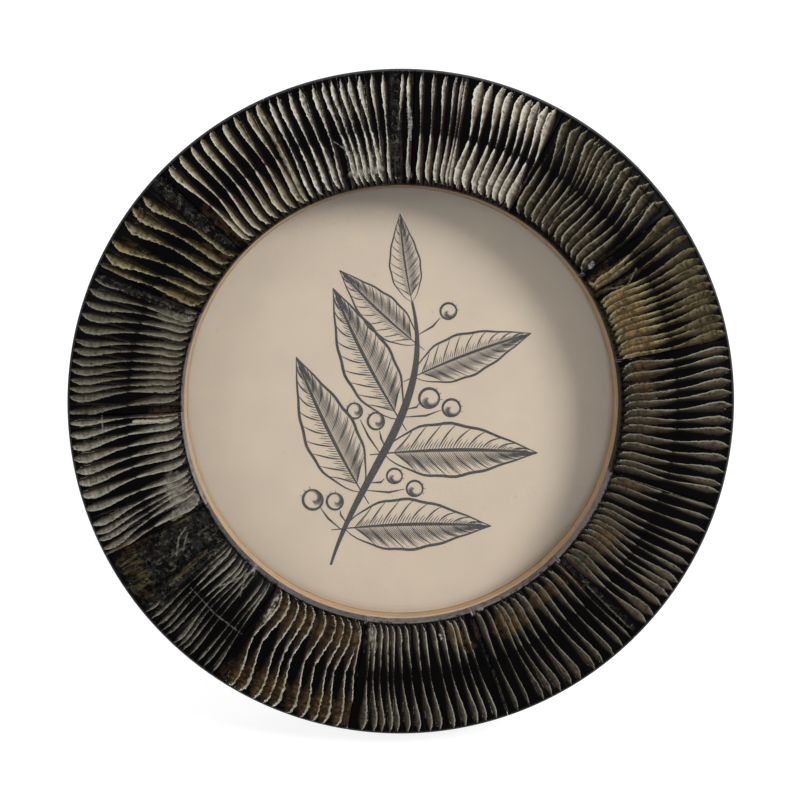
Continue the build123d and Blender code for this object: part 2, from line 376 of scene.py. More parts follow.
def mixed(factor, first, second):
    """A colour between two, each a tone from 0 to 255 or a colour that a node gives."""
    ends = [linear(colour) if isinstance(colour, tuple) else colour for colour in (first, second)]
    made = add_node(factor.tree, "ShaderNodeMix", {0: factor, 6: ends[0], 7: ends[1]}, data_type="RGBA")
    return Value(factor.tree, made.outputs[2])


def dimmed(colour, factor):
    """A tone or colour made darker or lighter by a factor."""
    tree = tree_of(colour, factor)
    if isinstance(colour, tuple):
        colour = linear(colour)[:3]
    made = add_node(tree, "ShaderNodeVectorMath", {0: colour, "Scale": factor}, operation="SCALE")
    return Value(tree, made.outputs["Vector"])


def bumped(shader, height, depth):
    """Small relief of this depth in millimetres."""
    inputs = {"Strength": 1.0, "Distance": depth / 1000, "Height": height}
    plug(shader.inputs["Normal"], add_node(shader.id_data, "ShaderNodeBump", inputs).outputs[0])


# Looks and strokes of each plate. seam is the clock angle where it begins, waist the reach where
# its outer and inner strokes meet and gap the bare space between them. ragged and point shape the
# strokes' edges and outer tips. fade moves the painted shaded side of a cut, line and tail are how
# strong its painted bright edge and its painted dark run-out are, rim, foot and middle are the
# brightness there, wall is the resin and painted highlight on the inner wall, and mottle the
# patchiness. pale, bed and deep are the cut's tones, with painted light and shade across the cut.
# A stroke row is its clock angle at the rim, at the waist and at the foot, then the width in
# degrees of its outer and its inner half.
plate_tones = ("pale", "bed", "deep")
plate_looks = ("fade", "line", "tail", "rim", "foot", "wall", "mottle", "middle")
plates = [
    dict(
        seam=1.9, waist=36.3, gap=0.35, ragged=0.16, point=0.5,
        fade=-0.05, line=0.8, tail=0.8, rim=1, foot=1, wall=0.1, mottle=0, middle=0.8,
        pale=(192, 192, 177), bed=(130, 120, 106), deep=(56, 43, 41),
        strokes=[
            (3.2, 3.5, 3.8, .6, 1.2), (5.3, 5.7, 6, .5, 1.3), (7.3, 7.7, 8, .75, 1.4),
            (9.1, 9.4, 9.7, .55, 1.2), (10.3, 10.7, 10.9, .5, .9), (11, 11.3, 11.7, .45, 1.0),
            (13.6, 13.8, 13.4, 1.9, 2.1), (15.4, 15.6, 15.5, 1.5, 2.1), (17.4, 17.9, 17.9, 1.6, 2.0),
            (18.9, 19.5, 19.5, 1.4, 2.1), (20.9, 21.5, 21.6, 1.5, 1.8), (22.6, 23.2, 23.3, 1.6, 1.9),
            (24, 24.8, 25.1, 1.5, 1.9), (25.7, 26.6, 27.2, 1.6, 2.2), (27.1, 28.3, 28.3, 1.8, 0),
        ],
    ),
    dict(
        seam=28.7, waist=36.6, gap=0.15, ragged=0.18, point=1,
        fade=-0.6, line=0.75, tail=1.2, rim=0.85, foot=1, wall=0.05, mottle=0.8, middle=0.1,
        pale=(146, 143, 123), bed=(60, 55, 45), deep=(25, 21, 17),
        strokes=[
            (30, 29.7, 30.2, 0, 2.02), (30.2, 31.7, 32.4, 1.88, 2.24), (32.3, 33.9, 34.6, 2, 2.02),
            (33.7, 35.1, 35.8, 1.5, 2.02), (35.5, 37, 37.7, 1.62, 2.13), (36.4, 37.9, 37.8, 1.25, 0),
            (37.7, 38.9, 38.5, 1.62, 1.57), (39.1, 40.4, 39.8, 1.62, 1.68), (40.3, 41.6, 41.9, 1.88, 2.02),
            (42, 43.3, 44.1, 1.88, 2.24), (43.7, 45.1, 45.9, 2, 2.24), (45.7, 47.2, 47.8, 2.12, 2.24),
            (47.8, 49.3, 49.8, 2, 2.13), (49.4, 51, 52, 2.12, 2.46), (51.8, 53.2, 53.1, 2, 0),
        ],
    ),
    dict(
        seam=53.9, waist=36.5, gap=0, ragged=0.28, point=0.5,
        fade=-0.35, line=0.5, tail=1.6, rim=0.64, foot=1.4, wall=0.05, mottle=1, middle=0.3,
        pale=(138, 132, 100), bed=(84, 76, 54), deep=(58, 48, 34),
        strokes=[
            (54.8, 56, 57.4, 1.6, 1.6), (57, 57.4, 58.3, 0.8, 1.2), (59, 59.7, 59.6, 1.3, 0),
            (61.6, 62, 62.1, 1.4, 1.4), (63.6, 63.4, 63.2, 1.89, 1.95), (65.1, 64.8, 64.8, 1.76, 1.95),
            (66.8, 66.5, 66.6, 1.89, 2.08), (68.2, 67.8, 67.9, 1.76, 1.95), (69.8, 69.6, 69.5, 1.89, 1.82),
            (70.8, 70.8, 71, 1.62, 1.82), (72.5, 72.4, 72.6, 2.03, 2.08), (74.4, 74.5, 74.7, 2.16, 2.08),
            (75.6, 75.6, 76.1, 1.76, 1.95), (77.2, 77.7, 77.8, 2.03, 1.69),
        ],
    ),
    dict(
        seam=78.2, waist=36.4, gap=0.05, ragged=0.1, point=0.8,
        fade=-0.55, line=1, tail=0.9, rim=1, foot=0.95, wall=0.1, mottle=0.2, middle=0.3,
        pale=(138, 137, 120), bed=(66, 61, 51), deep=(42, 34, 27),
        strokes=[
            (79.9, 80.2, 80.3, 1.43, 2.42), (81.5, 81.9, 82.7, 1.32, 1.87), (83.7, 84.3, 85.5, 1.54, 1.98),
            (85.7, 86.4, 87.8, 1.54, 1.98), (87.7, 88.4, 89.5, 1.54, 1.76), (89.9, 90.7, 91.7, 1.65, 1.98),
            (92.5, 92.9, 93.4, 1.54, 1.87), (94.5, 94.7, 95.3, 1.43, 1.76), (97.1, 97.3, 97.7, 1.65, 1.87),
            (99.3, 99.6, 99.7, 1.43, 1.65), (101.7, 101.8, 102.2, 1.43, 1.65), (104, 104, 104.2, 1.32, 1.54),
            (105.3, 105.5, 105.5, 1.21, 1.43),
        ],
    ),
    dict(
        seam=107.6, waist=36.3, gap=0.05, ragged=0.1, point=0.8,
        fade=-0.5, line=0.9, tail=0.7, rim=1.1, foot=0.92, wall=1, mottle=0.2, middle=0.4,
        pale=(122, 121, 106), bed=(68, 62, 52), deep=(38, 31, 26),
        strokes=[
            (108.3, 108.3, 109, .8, 2.2), (110.3, 110.3, 110.6, .9, 1.4), (112.6, 112.7, 113, 1.0, 1.4),
            (115.2, 115.3, 115.6, .9, 1.3), (116.9, 116.9, 117.2, .9, 1.4), (119.1, 119.1, 119.2, 1.2, 1.8),
            (120.8, 120.7, 120.7, 1.0, 1.6), (122.7, 122.6, 122.1, 1.5, 1.8), (124.3, 124.2, 123.7, 1.4, 1.7),
            (125.7, 125.6, 125.3, 1.4, 1.7), (127.7, 127.6, 127.7, 1.4, 2.1), (129.9, 130.1, 130, 1.7, 2.1),
            (131.7, 131.8, 131.9, 1.5, 2.1),
        ],
    ),
    dict(
        seam=134.8, waist=36.2, gap=0.15, ragged=0.1, point=0.8,
        fade=-0.5, line=0.9, tail=0.5, rim=1, foot=1, wall=0.8, mottle=0.3, middle=0.4,
        pale=(130, 129, 114), bed=(58, 53, 45), deep=(30, 26, 22),
        strokes=[
            (135.5, 135.6, 135.6, .6, .7), (137.5, 137.7, 138.1, 1.0, 1.4), (139.7, 140, 140.4, 1.1, 1.5),
            (142, 142.5, 143, 1.1, 1.5), (143.8, 144.5, 145.2, 1.2, 1.6), (146.8, 147.4, 148, 1.5, 1.6),
            (148.7, 149.5, 150, 1.2, 1.5), (150.9, 151.7, 152.2, 1.3, 1.5), (152.6, 153.4, 153.8, 1.1, 1.4),
            (154.2, 154.8, 155, .9, 1.3), (156.9, 157.1, 157.4, .7, .9), (159.1, 159.5, 159.8, .9, 1.3),
        ],
    ),
    dict(
        seam=161, waist=36.1, gap=0.75, ragged=0.1, point=0.8,
        fade=-0.5, line=1.1, tail=0.4, rim=1.02, foot=0.95, wall=0.7, mottle=0, middle=0.3,
        pale=(164, 162, 149), bed=(66, 61, 52), deep=(32, 27, 23),
        strokes=[
            (163.1, 163.7, 164.3, .9, 1.0), (165, 165.5, 166.2, 1.0, 1.1), (166.6, 167.2, 167.6, 1.1, 1.6),
            (168.7, 169.4, 169.9, 1.2, 1.1), (170.8, 171.4, 172, 1.1, 1.1), (173.2, 173.9, 174.4, 1.2, 1.1),
            (174.9, 175.8, 176.4, 1.2, 1.1), (177, 177.9, 178.8, 1.1, 1.1), (178.9, 179.9, 180.5, 1.2, 1.1),
            (180.8, 181.7, 182.2, 1.1, 1.1), (182, 182.9, 183.7, 1.0, 1.1), (183.5, 184.6, 185.2, 1.1, 1.1),
            (184.9, 186.1, 187, 1.2, 1.6), (187, 187.3, 187.9, 1.6, .9),
        ],
    ),
    dict(
        seam=189.3, waist=36.4, gap=0.05, ragged=0.5, point=0.3,
        fade=-0.85, line=1.5, tail=0.9, rim=1, foot=0.7, wall=0.45, mottle=0.3, middle=0.4,
        pale=(194, 190, 172), bed=(50, 40, 31), deep=(34, 25, 19),
        strokes=[
            (189.8, 190.2, 190.7, 1.92, 1.5), (191.7, 192, 191.3, 2.08, 2), (194.1, 194.4, 193.3, 2.08, 2.25),
            (195.9, 196.1, 195.3, 2.08, 2.25), (198.1, 198.6, 197.4, 2.08, 2.25),
            (200.4, 200.9, 200.1, 2.24, 2.25), (203.3, 203.7, 203.2, 2.08, 2.25),
            (205.1, 205.5, 205.4, 2.08, 2.25), (207, 207.7, 207.6, 2.24, 2.38),
            (209.8, 210.7, 210.2, 2.24, 2.25), (211.7, 212.9, 212.5, 2.08, 2.25),
        ],
    ),
    dict(
        seam=214.7, waist=36.4, gap=0.1, ragged=0.18, point=0.8,
        fade=0, line=1, tail=0.3, rim=0.85, foot=0.85, wall=0.3, mottle=0.6, middle=0.6,
        pale=(140, 138, 126), bed=(60, 57, 50), deep=(30, 27, 24),
        strokes=[
            (215.3, 215.8, 216.2, 0.65, 0.72), (217.1, 217, 216.8, 0.65, 0.6),
            (218.5, 218.3, 218.2, 0.65, 0.72), (220.3, 220.7, 221, 0.65, 0.6),
            (221.7, 222.1, 222.2, 0.65, 0.72), (222.7, 223.5, 223.3, 0.78, 0.6),
            (223.7, 224.6, 224.5, 1.04, 0.96), (225.6, 225.8, 225.7, 0.78, 1.2),
            (226.7, 227.5, 227.6, 0.65, 1.2), (227.9, 228.7, 229.6, 0.78, 1.2),
            (229.5, 230.1, 230.6, 0.78, 0.6), (231, 231.5, 231.8, 0.78, 0.6),
        ],
    ),
    dict(
        seam=242.9, waist=36.4, gap=0, ragged=0.12, point=0.2,
        fade=0, line=0.8, tail=0.6, rim=1, foot=0.8, wall=0.9, mottle=0, middle=0.5,
        pale=(144, 142, 130), bed=(106, 99, 88), deep=(48, 42, 38),
        strokes=[
            (243.1, 244.1, 244.7, 1.1, 2.2), (244.2, 246, 247.3, 1.2, 1.6), (245.9, 247.2, 248.7, 1.2, 1.0),
            (247.2, 248.5, 249.5, 1.2, .9), (248.8, 250, 250.9, 1.4, 1.4), (251.7, 252.2, 252.4, 1.6, 1.7),
            (254.1, 255, 255.4, 1.8, 1.9), (256.4, 257.3, 257.9, 1.8, 1.9), (258.4, 259.4, 260.1, 1.7, 1.8),
            (260.6, 261.7, 262.5, 1.8, 1.9), (262.7, 264.1, 264.9, 1.7, 1.7), (264.8, 266.1, 266.7, 1.5, 1.5),
            (266.9, 267.6, 267.7, 1.2, .7),
        ],
    ),
    dict(
        seam=268.3, waist=36.1, gap=0.1, ragged=0.1, point=0.5,
        fade=-0.15, line=0.8, tail=0.8, rim=0.95, foot=0.93, wall=0.6, mottle=0, middle=0.2,
        pale=(114, 112, 99), bed=(84, 80, 69), deep=(44, 38, 34),
        strokes=[
            (268.8, 270.2, 271.6, 1.68, 1.87), (271.4, 273.1, 274.1, 1.79, 1.87),
            (272.9, 274.4, 275.6, 1.34, 1.65), (274.4, 276, 277.2, 1.46, 1.65),
            (276.1, 277.8, 279, 1.57, 1.65), (277.8, 279.6, 280.8, 1.57, 1.65),
            (279.7, 281.6, 282.8, 1.57, 1.76), (281.3, 283.2, 284.6, 1.46, 1.65),
            (283.7, 285.6, 287, 1.68, 1.87), (286, 287.7, 289.1, 1.68, 1.87),
            (288.1, 289.7, 290.5, 1.46, 1.32), (290.4, 291.3, 292, 1.57, 2.2),
            (292.4, 293.4, 293.8, 1.01, 1.1),
        ],
    ),
    dict(
        seam=294.7, waist=36.3, gap=0, ragged=0.5, point=0.6,
        fade=-0.3, line=0.7, tail=0.9, rim=0.88, foot=0.68, wall=0.2, mottle=1, middle=0.1,
        pale=(146, 139, 109), bed=(88, 81, 56), deep=(44, 37, 25),
        strokes=[
            (295.1, 295.8, 296.6, 1.49, 2.75), (297, 298.1, 299.3, 1.94, 1.73),
            (299.6, 301.1, 302.1, 1.83, 1.95), (303.5, 304.6, 305.5, 2.06, 1.95),
            (306.1, 307.4, 308.6, 2.06, 2.07), (308.8, 310.4, 311.2, 1.83, 1.73),
        ],
    ),
    dict(
        seam=313.9, waist=36.4, gap=0, ragged=0.16, point=0.1,
        fade=-0.1, line=0.9, tail=1, rim=1, foot=0.88, wall=0.15, mottle=0, middle=0.6,
        pale=(172, 169, 148), bed=(114, 105, 85), deep=(48, 37, 32),
        strokes=[
            (315.6, 316.3, 316.9, 1.4, 1.5), (318.2, 318.6, 318.3, 1.4, 1.6), (320.7, 320.9, 320.8, 1.2, 1.6),
            (322.9, 323.2, 323.3, 1.4, 1.7), (324.9, 325.5, 325.8, 1.3, 1.7), (327.4, 328, 328.4, 1.3, 2.0),
            (329.7, 330.4, 330.9, 1.0, 1.8), (332.1, 332.8, 333.4, 1.2, 1.8), (334.2, 334.7, 334.7, 1.4, 1.5),
        ],
    ),
    dict(
        seam=335.5, waist=36.3, gap=-0.25, ragged=0.38, point=0.7,
        fade=0.05, line=1, tail=1, rim=1, foot=1.05, wall=0.1, mottle=0.3, middle=1,
        pale=(190, 190, 174), bed=(136, 128, 116), deep=(50, 43, 41),
        strokes=[
            (336.3, 336.4, 336.5, 1.0, .9), (337.8, 338.2, 338.7, .9, 1.2), (339.9, 340.3, 341, 1.0, 1.2),
            (341.9, 342.5, 343.4, 1.0, 1.3), (344.2, 344.8, 344.8, 1.0, .7), (346, 347.1, 348.3, 1.0, 1.3),
            (347.5, 348.5, 349.6, .9, 1.1), (349.1, 350, 351, .9, 1.2), (350.6, 351.9, 352.7, 1.0, 1.2),
            (352.4, 353.3, 354.5, 1.1, 1.3), (354.5, 354.9, 355, .8, .6), (356.5, 356.5, 356.7, .9, .9),
            (359.9, 359, 358.2, .7, .6), (361, 361.1, 361.1, .8, .8),
        ],
    ),
]

# Marks on the plates. A row is the kind, the clock angle and reach of both ends, and the size.
mark_kinds = ("bark", "worn", "scratch", "stain", "resin", "flake")
# The resin rows along the inner edge, at reach 29.2 to 29.3 from 107.8 to 134.6 and from 245 to 262 degrees,
# are a painted highlight on the inner wall.
marks = [
    ("stain", 1.4, 43.6, 1.5, 42.6, .3), ("resin", 1, 39.1, 1.6, 36.7, .28),
    ("resin", 1, 31.9, 1.7, 30.3, .3), ("resin", 53, 31.4, 53.3, 30.9, .35),
    ("resin", 53.8, 29.6, 53.8, 29.2, .25), ("stain", 55.4, 33.3, 57, 29.7, .9),
    ("resin", 56.7, 29.8, 57.3, 29.9, .2), ("scratch", 59.3, 35.8, 61.6, 33.7, .1),
    ("scratch", 61.8, 34.3, 60, 30.9, .12), ("stain", 64.4, 32.7, 76.4, 32.6, 2.2),
    ("resin", 78.1, 31.4, 78.1, 30.8, .16), ("resin", 78.2, 29.6, 78.2, 29.2, .22),
    ("stain", 80, 32.6, 86, 32.1, 1.4), ("scratch", 108.2, 43.7, 107.9, 37.5, .13),
    ("scratch", 107.8, 37.3, 107.6, 30.5, .07), ("resin", 107.8, 29.2, 116, 29.2, .4),
    ("resin", 116, 29.2, 124.2, 29.2, .32), ("resin", 124.2, 29.2, 134.6, 29.2, .24),
    ("stain", 109.1, 33.3, 109.5, 30.5, .7), ("stain", 122.1, 32.3, 126.2, 32.3, 1.6),
    ("bark", 133.8, 30.2, 133.8, 43.1, .45), ("scratch", 134.3, 42.5, 134.1, 34.2, .07),
    ("resin", 134.8, 29.6, 134.8, 29.2, .25), ("stain", 135.1, 34.2, 135.3, 29.6, .35),
    ("stain", 137.9, 31.7, 145.6, 31.7, 1.0), ("stain", 151.5, 32.5, 155.3, 32.3, 1.9),
    ("resin", 158.4, 29.4, 159.4, 29.3, .2), ("scratch", 160.9, 43.7, 160.9, 37.4, .13),
    ("resin", 161.1, 29.6, 161.1, 29.2, .28), ("bark", 161.2, 36.7, 161.6, 30.4, .2),
    ("stain", 161.5, 32.7, 161.8, 30.4, .4), ("stain", 164.3, 33.4, 168.1, 31.1, 1.1),
    ("resin", 170.3, 31.7, 170.5, 31.1, .16), ("worn", 186.4, 32.5, 187.8, 30.4, .45),
    ("bark", 188.7, 33.1, 188.8, 30.8, .3), ("resin", 189.3, 29.6, 189.3, 29.2, .2),
    ("stain", 190.3, 42.3, 212.6, 42.3, 1.8), ("stain", 192.6, 31.9, 210.9, 32, 1.6),
    ("worn", 212.5, 34.3, 212.9, 30.5, .4), ("bark", 230.5, 41.5, 230.8, 38.4, .4),
    ("bark", 232.8, 30.6, 232, 42.8, 1.0), ("bark", 236.6, 30.8, 236, 43, 1.5),
    ("bark", 240.7, 30.9, 239.8, 43, 1.5), ("stain", 234.9, 41.9, 242, 41.6, 1.8),
    ("scratch", 236.5, 35.9, 239.4, 34.4, .13), ("scratch", 239.4, 34.4, 240.6, 32.9, .1),
    ("scratch", 236.6, 34.8, 239.4, 33.1, .09), ("worn", 214.9, 37.1, 222, 37.2, .08),
    ("worn", 222, 37.2, 229.2, 37, .08), ("stain", 232.4, 38.5, 233.4, 32.5, .35),
    ("scratch", 220.4, 33.2, 222.7, 30.6, .12), ("scratch", 225.3, 34.2, 221.6, 29.7, .14),
    ("resin", 221.7, 29.8, 222, 29.3, .25), ("stain", 242.4, 39.5, 242.6, 31.6, .4),
    ("worn", 243.9, 33.6, 245.9, 30.3, .7), ("worn", 247.6, 32.1, 252.1, 31.9, 1.3),
    ("scratch", 264.9, 39.7, 269.2, 39.7, .13), ("flake", 266.7, 35.5, 266.6, 33.4, .24),
    ("flake", 266.6, 33.4, 266.5, 30.9, .14), ("resin", 266.7, 35.4, 266.7, 35.1, .16),
    ("stain", 268.7, 32.8, 268.9, 30.3, .7), ("resin", 245, 29.3, 252, 29.3, .09),
    ("resin", 255, 29.3, 262, 29.3, .09), ("worn", 291.1, 34, 291.9, 31.1, .6),
    ("resin", 292.3, 30.5, 292.7, 30.3, .2), ("bark", 293.4, 31.5, 293, 43.3, .6),
    ("stain", 295.2, 34, 297.4, 31, 1.0), ("stain", 299.5, 42.9, 300.7, 40.9, .6),
    ("stain", 306.2, 42.6, 307.2, 41, .5), ("stain", 308.5, 33.6, 309.7, 30.9, .8),
    ("bark", 307, 42.8, 307.1, 43.2, .4), ("bark", 312.6, 31.3, 312.3, 43.4, .95),
    ("stain", 315, 36.5, 315.1, 30.7, .8), ("worn", 334.2, 42.1, 334.6, 32.3, .3),
    ("stain", 335.2, 41.6, 335.3, 34.3, .3), ("scratch", 345.4, 35.9, 348.2, 34.1, .05),
    ("worn", 347.5, 31.3, 354.6, 31.3, .5), ("bark", 358.2, 30.7, 358.4, 43.4, .7),
    ("resin", 361.2, 38.6, 361.5, 35.2, .2), ("stain", 361.3, 43.4, 361.4, 42.6, .35),
    ("resin", 356.6, 31.7, 356.8, 30.5, .14),
]


def carved_plate_tree():
    """A horn plate: a bent grid, domed across, with the file's strokes cut one after another."""
    sizes = (
        "First seam", "Last seam", "Ring face", "Seam round", "File radius", "Raggedness", "Pointed", "Seed",
    )
    tree, given, result = new_group("GeometryNodeTree", "carved plate", {
        "Object": ("Section", "Strokes", "Marks"), "Int": ("Columns",), "Float": sizes,
        "Material": ("Finish",),
    }, {"Geometry": ("Plate",)})
    columns = Value(tree, given["Columns"])
    first, last, bottom, seam_round, file_size, raggedness, pointed, seed = (
        Value(tree, given[label]) for label in sizes)

    def count_of(shape):
        return Value(tree, add_node(tree, "GeometryNodeAttributeDomainSize", {0: shape}).outputs[0])

    def stored(shape, label, value, where=True):
        inputs = {"Geometry": shape, "Name": label, "Value": value, "Selection": where}
        node = add_node(
            tree, "GeometryNodeStoreNamedAttribute", inputs, data_type="FLOAT", domain="POINT"
        )
        return node.outputs[0]

    def repeated(shape, times):
        """The two ends of a loop that works on a shape."""
        entry = tree.nodes.new("GeometryNodeRepeatInput")
        leave = tree.nodes.new("GeometryNodeRepeatOutput")
        entry.pair_with_output(leave)
        plug(entry.inputs["Iterations"], times)
        plug(entry.inputs["Geometry"], shape)
        return entry.outputs, leave

    def carried(points, order, label):
        """The number that one of the loose points carries."""
        inputs = {"Geometry": points, "Index": order, "Value": named(tree, label)}
        return Value(tree, add_node(tree, "GeometryNodeSampleIndex", inputs).outputs[0])

    # The bent grid, one row for each point of the section
    section = shape_of(tree, given["Section"])
    rows = count_of(section)
    grid = add_node(tree, "GeometryNodeMeshGrid", {
        "Size X": 1.0, "Size Y": 1.0, "Vertices X": columns, "Vertices Y": rows})
    place = Value(tree, tree.nodes.new("GeometryNodeInputPosition").outputs[0])
    across_grid, along_grid = parts_of(place)[:2]
    column = (across_grid + 0.5) * (columns - 1)
    row = maths("ROUND", (along_grid + 0.5) * (rows - 1))
    inside = clamped(column - 1, 0.0, columns - 3) / (columns - 3)
    spot = add_node(tree, "GeometryNodeSampleIndex", {"Geometry": section, "Index": row, "Value": place},
                    data_type="FLOAT_VECTOR")
    reach, height = parts_of(Value(tree, spot.outputs[0]))[:2]
    shape = stored(grid.outputs[0], "clock", first + (last - first) * inside)
    shape = stored(shape, "reach", reach)
    shape = stored(shape, "side", maths("ABSOLUTE", across_grid) > 0.5 - 0.5 / (columns - 1))
    shape = stored(shape, "height", height)
    shape = stored(shape, "cut", -1.0)

    clock = named(tree, "clock")
    reach = named(tree, "reach")
    right_of_middle = reach * maths("SINE", clock * degree)
    over_middle = reach * maths("COSINE", clock * degree)
    flat = combined(right_of_middle, over_middle, seed)
    shape = stored(shape, "ragged", cloudy(flat, 1.7, 3.0, 0.6) - 0.5)
    shape = stored(shape, "torn", cloudy(flat, 4.5, 2.0, 0.6) - 0.5)
    shape = stored(shape, "rough", cloudy(flat, 0.8, 4.0, 0.65, 0.8))

    # Strokes: each is a band about a bent line, and the deepest cut wins
    strokes = shape_of(tree, given["Strokes"])
    entry, leave = repeated(shape, count_of(strokes))
    inner, start, end, begin, finish, width, tone = (
        carried(strokes, entry["Iteration"], label)
        for label in ("inner", "start", "end", "begin", "finish", "width", "tone"))
    run = clamped((reach + named(tree, "torn") * 1.1 - start) / (end - start), 0.0, 1.0)

    def either(outer_points, inner_points):
        outer = shaped(run, outer_points)
        return outer + (shaped(run, inner_points) - outer) * inner

    drift = either([(0, 0), (.2, .03), (.6, .52), (1, 1)], [(0, 0), (.35, .55), (.65, 1), (1, 1)])
    tip = either([(0, .04), (.06, .02), (.16, 0), (1, 0)], [(0, 0), (.7, 0), (.86, .12), (1, .55)])
    left = either(
        [(0, 0), (.015, .16), (.06, .38), (.16, .52), (.4, .48), (.6, .33), (.78, .18), (.93, .11), (1, 0)],
        [(0, 0), (.05, .12), (.25, .22), (.5, .42), (.68, .54), (.84, .5), (.94, .28), (1, 0)])
    right = either(
        [(0, 0), (.015, .18), (.06, .38), (.16, .48), (.4, .42), (.6, .27), (.78, .15), (.93, .1), (1, 0)],
        [(0, 0), (.05, .12), (.25, .25), (.5, .44), (.68, .5), (.84, .45), (.94, .25), (1, 0)])
    line = begin + (finish - begin) * drift + tip * width
    aside = (clock - line) * reach * degree + named(tree, "ragged") * raggedness
    chatter = cloudy(combined(reach * 1.7, aside * 0.4, tone * 37 + begin), 1.0, 2.0) - 0.5
    breadth = width * reach * degree * (1 + chatter * 0.5)
    breadth = breadth * (1 - pointed * (1 - inner) * smooth(run, 0.24, 0.0) * 0.8)
    left = left * breadth
    right = right * breadth
    half = (left + right) / 2
    off = aside - (right - left) / 2
    shape = stored(entry["Geometry"], "trial", half * half - off * off)
    better = named(tree, "trial") > named(tree, "cut")
    shape = stored(shape, "across", off / maths("MAXIMUM", half, 0.05), better)
    shape = stored(shape, "tone", tone, better)
    shape = stored(shape, "chatter", chatter + 0.5, better)
    shape = stored(shape, "cut", named(tree, "trial"), better)
    plug(leave.inputs["Geometry"], shape)

    # Marks: each is a capsule on the face
    marks_given = shape_of(tree, given["Marks"])
    entry, leave = repeated(leave.outputs["Geometry"], count_of(marks_given))
    from_x, from_y, to_x, to_y, size = (
        carried(marks_given, entry["Iteration"], label)
        for label in ("from_x", "from_y", "to_x", "to_y", "size"))
    away_x = right_of_middle - from_x
    away_y = over_middle - from_y
    run_x = to_x - from_x
    run_y = to_y - from_y
    share = clamped((away_x * run_x + away_y * run_y) / (run_x * run_x + run_y * run_y), 0.0, 1.0)
    off_x = away_x - run_x * share
    off_y = away_y - run_y * share
    distance = maths("SQRT", off_x * off_x + off_y * off_y)
    distance = distance + named(tree, "ragged") * size * 1.5 + named(tree, "torn") * (size * 0.9 + 0.12)
    spread = smooth(distance / size, 1.05, 0.6)
    shape = entry["Geometry"]
    for kind in mark_kinds:
        here = spread * carried(marks_given, entry["Iteration"], f"is_{kind}")
        shape = stored(shape, kind, maths("MAXIMUM", named(tree, kind), here))
    plug(leave.inputs["Geometry"], shape)

    # The face: rounded at the seams, cut by the strokes and roughened by the marks
    edge = maths("MINIMUM", clock - first, last - clock) * reach * degree
    shape = stored(leave.outputs["Geometry"], "edge", edge)
    dip = seam_round - maths("MINIMUM", edge, seam_round)
    drop = seam_round - maths("SQRT", seam_round * seam_round - dip * dip)
    cut, chatter, bark, worn, rough, scratch, height, side = (
        named(tree, label)
        for label in ("cut", "chatter", "bark", "worn", "rough", "scratch", "height", "side"))
    depth = maths("MAXIMUM", cut, 0.0) / (file_size * 2)
    depth = depth * (0.65 + chatter * 0.7) * (1 - bark * 0.6) * (1 - worn * 0.5)
    depth = depth + bark * rough * 0.35 + scratch * 0.05
    top = maths("MAXIMUM", height - drop - depth, bottom)
    turned_place = combined(right_of_middle, over_middle, top + (bottom - top) * side)
    bent = add_node(tree, "GeometryNodeSetPosition", {"Geometry": shape, "Position": turned_place})
    smoothed = add_node(tree, "GeometryNodeSetShadeSmooth", {"Geometry": bent.outputs[0]})
    hand_out(tree, smoothed.outputs[0], given, result)
    return tree


def horn_section():
    """Points across a plate, from the foot of its inner wall over the dome to its outer wall."""
    middle = (horn_inner_radius + outer_radius) / 2
    half_width = (outer_radius - horn_inner_radius) / 2
    rise = horn_crest - horn_edge
    dome_radius = (half_width**2 + rise**2) / (2 * rise)

    def dome(reach):
        return horn_crest - dome_radius + sqrt(dome_radius**2 - (reach - middle) ** 2)

    points = []
    for step in range(wall_rows):
        height = ring_face + (horn_edge - horn_round - ring_face) * step / wall_rows
        points.append((horn_inner_radius, height))
    for step in range(corner_rows):
        turn = pi / 2 * step / corner_rows
        reach = horn_inner_radius + horn_round * (1 - cos(turn))
        points.append((reach, dome(reach) - horn_round * (1 - sin(turn))))
    top_rows = round((outer_radius - horn_inner_radius - 2 * horn_round) / mesh_step)
    for step in range(top_rows + 1):
        reach = horn_inner_radius + horn_round + (2 * half_width - 2 * horn_round) * step / top_rows
        points.append((reach, dome(reach)))
    for reach, height in reversed(points[:wall_rows + corner_rows]):
        points.append((2 * middle - reach, height))
    return points


def closed_below(piece):
    """Fills the open underside of a plate and turns its faces outwards."""
    shell = bmesh.new()
    shell.from_mesh(piece.data)
    rim = [edge for edge in shell.edges if edge.is_boundary]
    bmesh.ops.triangle_fill(shell, edges=rim, use_beauty=False, normal=(0, 0, -1))
    bmesh.ops.recalc_face_normals(shell, faces=shell.faces)
    shell.to_mesh(piece.data)
    shell.free()
    piece.data.set_sharp_from_angle(angle=radians(plate_corner))


